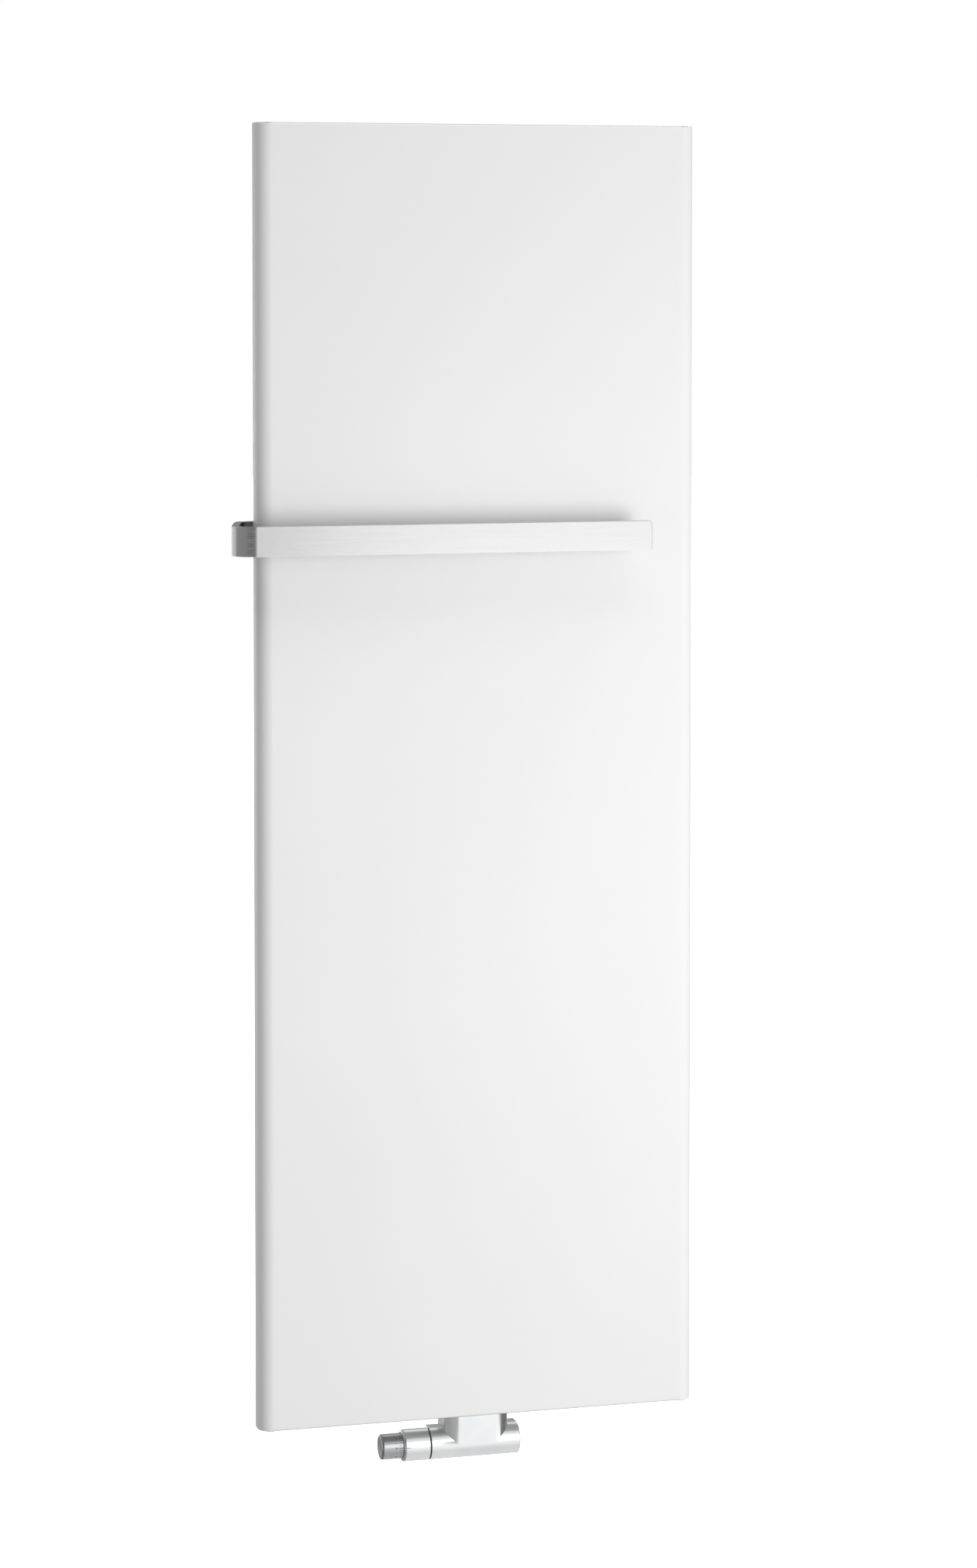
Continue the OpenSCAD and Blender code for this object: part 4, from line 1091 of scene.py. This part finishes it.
def makeBrackets():
    # plate, arm with its lip, and two gussets
    bracket = {"plate": 4.0, "corner": 6.0, "hole": 4.5, "armWide": 20.0, "armThick": 5.0, "armCorner": 4.4,
               "drop": 26.0, "lip": 4.0, "lipTall": 12.0, "gusset": 14.0, "gussetThick": 3.0, "edgeBreak": 0.5}
    low, high = boxOf("bracket_lower_left")
    x, z = middleOf("bracket_lower_left")[::2]
    half, top, face = bracket["armWide"] / 2, z - bracket["drop"], high.y - bracket["plate"]
    under, lip = top - bracket["armThick"], low.y + bracket["lip"]
    foot = under - bracket["gusset"]
    plate = addBlock("bracketLowerLeft", (low.x, face, low.z), high)
    roundEdges(plate, lambda mid, run: abs(run.y) > 1, bracket["corner"])
    arm = addBlock("arm", (x - half, low.y, under), (x + half, high.y - 1, top))
    editPiece(arm)
    cutAcross((0, lip, 0), (0, 1, 0))
    pick("faces", lambda mid, normal: normal.z > 0.9 and mid.y < lip)
    drawOut((0, 0, bracket["lipTall"]))
    leaveEdit()
    roundEdges(arm, lambda mid, run: abs(run.x) > 1 and mid.y < low.y + 0.1 and mid.z < top - 1, bracket["armCorner"])
    fuse(plate, arm)
    for inner, outer in ((-half, bracket["gussetThick"] - half), (half - bracket["gussetThick"], half)):
        gusset = addBlock("gusset", (x + inner, face - bracket["gusset"], foot), (x + outer, high.y - 1, top - 1))
        editPiece(gusset)
        cutAcross((0, face, foot), (0, -1, -1), clear_outer=True, use_fill=True)
        leaveEdit()
        fuse(plate, gusset)
    drill(plate, (0, 1, 0), (x, 0, z), high.y - 10, high.y + 5, bracket["hole"])
    softenEdges(cleanMesh(plate), bracket["edgeBreak"], 2, 40)
    others = ("bracket_lower_right", "bracket_upper_left", "bracket_upper_right")
    copies = [copyPiece(plate, nameFrom(node), boxOf(node)[0] - low) for node in others]
    for node, piece in zip(("bracket_lower_left", *others), (plate, *copies)):
        dress(piece, "zinc", node, 35)


makeHangerLugs()
makeBrackets()
dress(copyNode("bracket_pads", 0.6), "nylon", "bracket_pads")
print("lugs and brackets done")


def makeRailPosts():
    post = {"foot": 17.0, "footTall": 4.0, "stem": 10.0, "bore": 3.1, "boreDeep": 20.0, "boreTip": 1.5, "fillet": 3.0}
    foot, stem, bore, r = post["foot"], post["stem"], post["bore"], post["fillet"]
    for node in ("rail_post_outer", "rail_post_inner"):
        low, high = boxOf(node)
        y0, y1 = low.y, high.y
        y2, y3 = y0 + post["footTall"], y1 - post["boreDeep"]
        outline = [(y0, 0), (y0, foot - 0.2), (y0 + 0.4, foot)]
        outline += [(y2 - 1, foot), (y2 - 0.3, foot - 0.3), (y2, foot - 1)]
        outline += [(y2 + r - b, stem + r - a) for a, b in arcPoints((0, 0), r, 90, 0, 6)]
        outline += [(y1 - 0.5, stem), (y1, stem - 0.5), (y1, bore), (y3, bore), (y3 - post["boreTip"], 0)]
        centre = middleOf(node)
        centre[1] = 0
        dress(turnOnLathe(nameFrom(node), outline, (0, 1, 0), centre, 64), "white_enamel", node)


def makeRailScrews():
    screw = {"head": 6.0, "shank": 3.0, "tip": 2.2, "pitch": 1.0, "threadDepth": 0.5, "threadStart": 0.8,
             "threadEnd": 7.0, "plain": 5.8, "cone": 3.0, "rim": 0.25, "key": 4.0, "keyDeep": 2.0}
    low, high = boxOf("rail_screws")
    head, r, y0, y1, z = screw["head"], screw["shank"], low.y, high.y, middleOf("rail_screws")[2]
    outline = [(y0, 0), (y0, screw["tip"]), (y0 + 0.6, r - 0.2)]
    place = y0 + screw["threadStart"]
    while place < y1 - screw["threadEnd"]:
        outline += [(place, r), (place + screw["pitch"] / 2, r - screw["threadDepth"])]
        place += screw["pitch"]
    outline += [(y1 - screw["plain"], r), (y1 - screw["cone"], r), (y1 - screw["rim"], head - 0.1),
                (y1, head - 0.3), (y1, 0)]
    screws = []
    for x in (low.x + head, high.x - head):
        piece = turnOnLathe("railScrews", outline, (0, 1, 0), (x, 0, z), 48)
        key = makeHexagon("keyForm", (0, 0), screw["key"], 0, screw["keyDeep"] + 1, False)
        key.rotation_euler = (math.radians(-90), 0, 0)
        key.location = inMetres((x, y1 - screw["keyDeep"], z))
        screws.append(cutOut(piece, placeInMesh(key)))
    dress(joinInto(screws[0], screws[1:]), "zinc", "rail_screws")


makeRailPosts()
makeRailScrews()
print("rail fixings done")


def threadLine(low, high, radius, depth, pitch):
    # points of a thread's roots and crests between two places
    count = int((high - low) / pitch)
    line = []
    for i in range(count):
        line += [(low + i * pitch, radius - depth), (low + (i + 0.5) * pitch, radius)]
    return line + [(low + count * pitch, radius - depth)]


def makeValveBody():
    # turned barrel, two union towers and two threaded pipe ends
    body = {"barrel": 15.0, "half": 46.0, "waist": 11, "waistDeep": 0.8, "edge": 0.6, "farEdge": 1.5, "pipeX": 25.0,
            "thread": 13.2, "threadDepth": 0.7, "pitch": 1.8, "towerThread": 18, "towerTop": 28.0,
            "shoulderEnd": 15.5, "shoulder": 14.4, "bore": 6.5, "cone": 9.5, "coneDeep": 5.5, "cockBore": 9.06,
            "cockEnd": 9, "insertBore": 9.05, "insertEnd": -16.3, "bridgeDeep": 10, "bridgeTall": 18,
            "bridgeBreak": 2.5, "edgeBreak": 0.2}
    y, z, half, r, waist = headAxis["y"], headAxis["z"], body["half"], body["barrel"], body["waist"]
    t, d, top = body["thread"], body["threadDepth"], body["towerTop"]
    shoulder, stubAt = body["shoulder"], body["shoulderEnd"]
    thin, edge, farEdge, pipeX = r - body["waistDeep"], body["edge"], body["farEdge"], body["pipeX"]
    outline = [(-half, 0), (-half, r - edge), (-half + edge, r), (-waist - 1, r), (-waist, thin), (waist, thin),
               (waist + 1, r), (half - farEdge, r), (half, r - farEdge), (half, 0)]
    barrel = turnOnLathe("valveBody", outline, (1, 0, 0), (0, y, z), 72)
    deep, tall = body["bridgeDeep"], body["bridgeTall"]
    bridge = addBlock("bridge", (-pipeX, y - deep, z), (pipeX, y + deep, z + tall))
    fuse(barrel, softenEdges(bridge, body["bridgeBreak"], 4, 50))
    tower = [(0, 0), (0, t - 0.2), (body["towerThread"] - 1, t - 0.2), (body["towerThread"] - 0.5, t - d)]
    tower += threadLine(body["towerThread"], top - 0.8, t, d, body["pitch"]) + [(top, t - 1), (top, 0)]
    end = boxOf("valve_body")[1].y - y
    stub = [(0, 0), (0, shoulder), (stubAt - 0.3, shoulder), (stubAt, shoulder - 0.3), (stubAt, t - 0.3),
            (stubAt + 0.4, t - d)]
    stub += threadLine(stubAt + 0.8, end - 0.8, t, d, body["pitch"]) + [(end, t - 1), (end, 0)]
    cone = [(0, 0), (0, body["bore"]), (end - body["coneDeep"], body["bore"]), (end, body["cone"]),
            (end + 1, body["cone"] + 0.6), (end + 1, 0)]
    for x in (-pipeX, pipeX):
        fuse(barrel, turnOnLathe("tower", tower, (0, 0, 1), (x, y, z), 64))
        fuse(barrel, turnOnLathe("pipeEnd", stub, (0, 1, 0), (x, y, z), 64))
        cutOut(barrel, turnOnLathe("pipeBore", cone, (0, 1, 0), (x, y, z), 48))
        drill(barrel, (0, 0, 1), (x, y, z), 0, top + 1, body["bore"])
    drill(barrel, (0, 1, 0), (pipeX, y, z), -r - 5, body["cockEnd"], body["cockBore"])
    drill(barrel, (1, 0, 0), (0, y, z), -half - 1, body["insertEnd"], body["insertBore"])
    softenEdges(cleanMesh(barrel), body["edgeBreak"], 2, 60)
    dress(barrel, "nickel", "valve_body", 28)


def makeUnion(side):
    # nipple with a foot collar, a ring and a thread, and the nut that holds it
    union = {"collar": 12.0, "collarTall": 2.5, "neck": 9.0, "ring": 12.4, "ringLow": 18, "ringHigh": 14,
             "thread": 10.4, "bore": 6.5, "pitch": 1.8, "depth": 0.6, "lip": 3.0, "nutBore": 13.3, "edge": 0.3,
             "ringEdge": 0.4, "edgeBreak": 0.3}
    low, high = boxOf(f"{side}_nipple")
    centre = (*middleOf(f"{side}_nipple")[:2], 0)
    foot, ring, neck, bore, up = union["collar"], union["ring"], union["neck"], union["bore"], (0, 0, 1)
    e, c = union["edge"], union["ringEdge"]
    z0, z1, z2 = low.z, high.z, low.z + union["collarTall"]
    z3, z4 = z1 - union["ringLow"], z1 - union["ringHigh"]
    outline = [(z0, bore), (z0, foot - e), (z0 + e, foot), (z2 - e, foot), (z2, foot - e), (z2, neck),
               (z3, neck), (z3, ring - c), (z3 + c, ring), (z4 - c, ring), (z4, ring - c),
               (z4, union["thread"] - union["depth"])]
    outline += threadLine(z4 + 0.5, z1 - 0.6, union["thread"], union["depth"], union["pitch"])
    outline += [(z1, union["thread"] - 1), (z1, bore), (z0, bore)]
    dress(turnOnLathe(f"{side}Nipple", outline, up, centre, 64), "nickel", f"{side}_nipple", 28)
    low, high = boxOf(f"{side}_union_nut")
    nut = makeHexagon(f"{side}UnionNut", centre, high.y - low.y, low.z, high.z, True, True)
    drill(nut, up, centre, low.z - 1, high.z - union["lip"], union["nutBore"])
    drill(nut, up, centre, low.z - 1, high.z + 1, neck + 0.1)
    softenEdges(cleanMesh(nut), union["edgeBreak"], 2, 40)
    dress(nut, "nickel", f"{side}_union_nut", 28)


makeValveBody()
makeUnion("supply")
makeUnion("return")
for node, slot, width in (("head_carrier", "black_plastic", 0.2), ("cover_clip", "black_plastic", 0.3),
                          ("head_union_nut", "nickel", 0.15), ("cock_gland", "nickel", 0.25)):
    dress(copyNode(node, width), slot, node)
print("valve fittings done")


def dressNodes():
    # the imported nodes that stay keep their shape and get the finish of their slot
    slots = {part["node"]: part["material_slot"] for part in frame["record"]["subparts"]}
    for name, node in frame["nodes"].items():
        node.data.materials.clear()
        node.data.materials.append(finishes[slots[name]])


dressNodes()
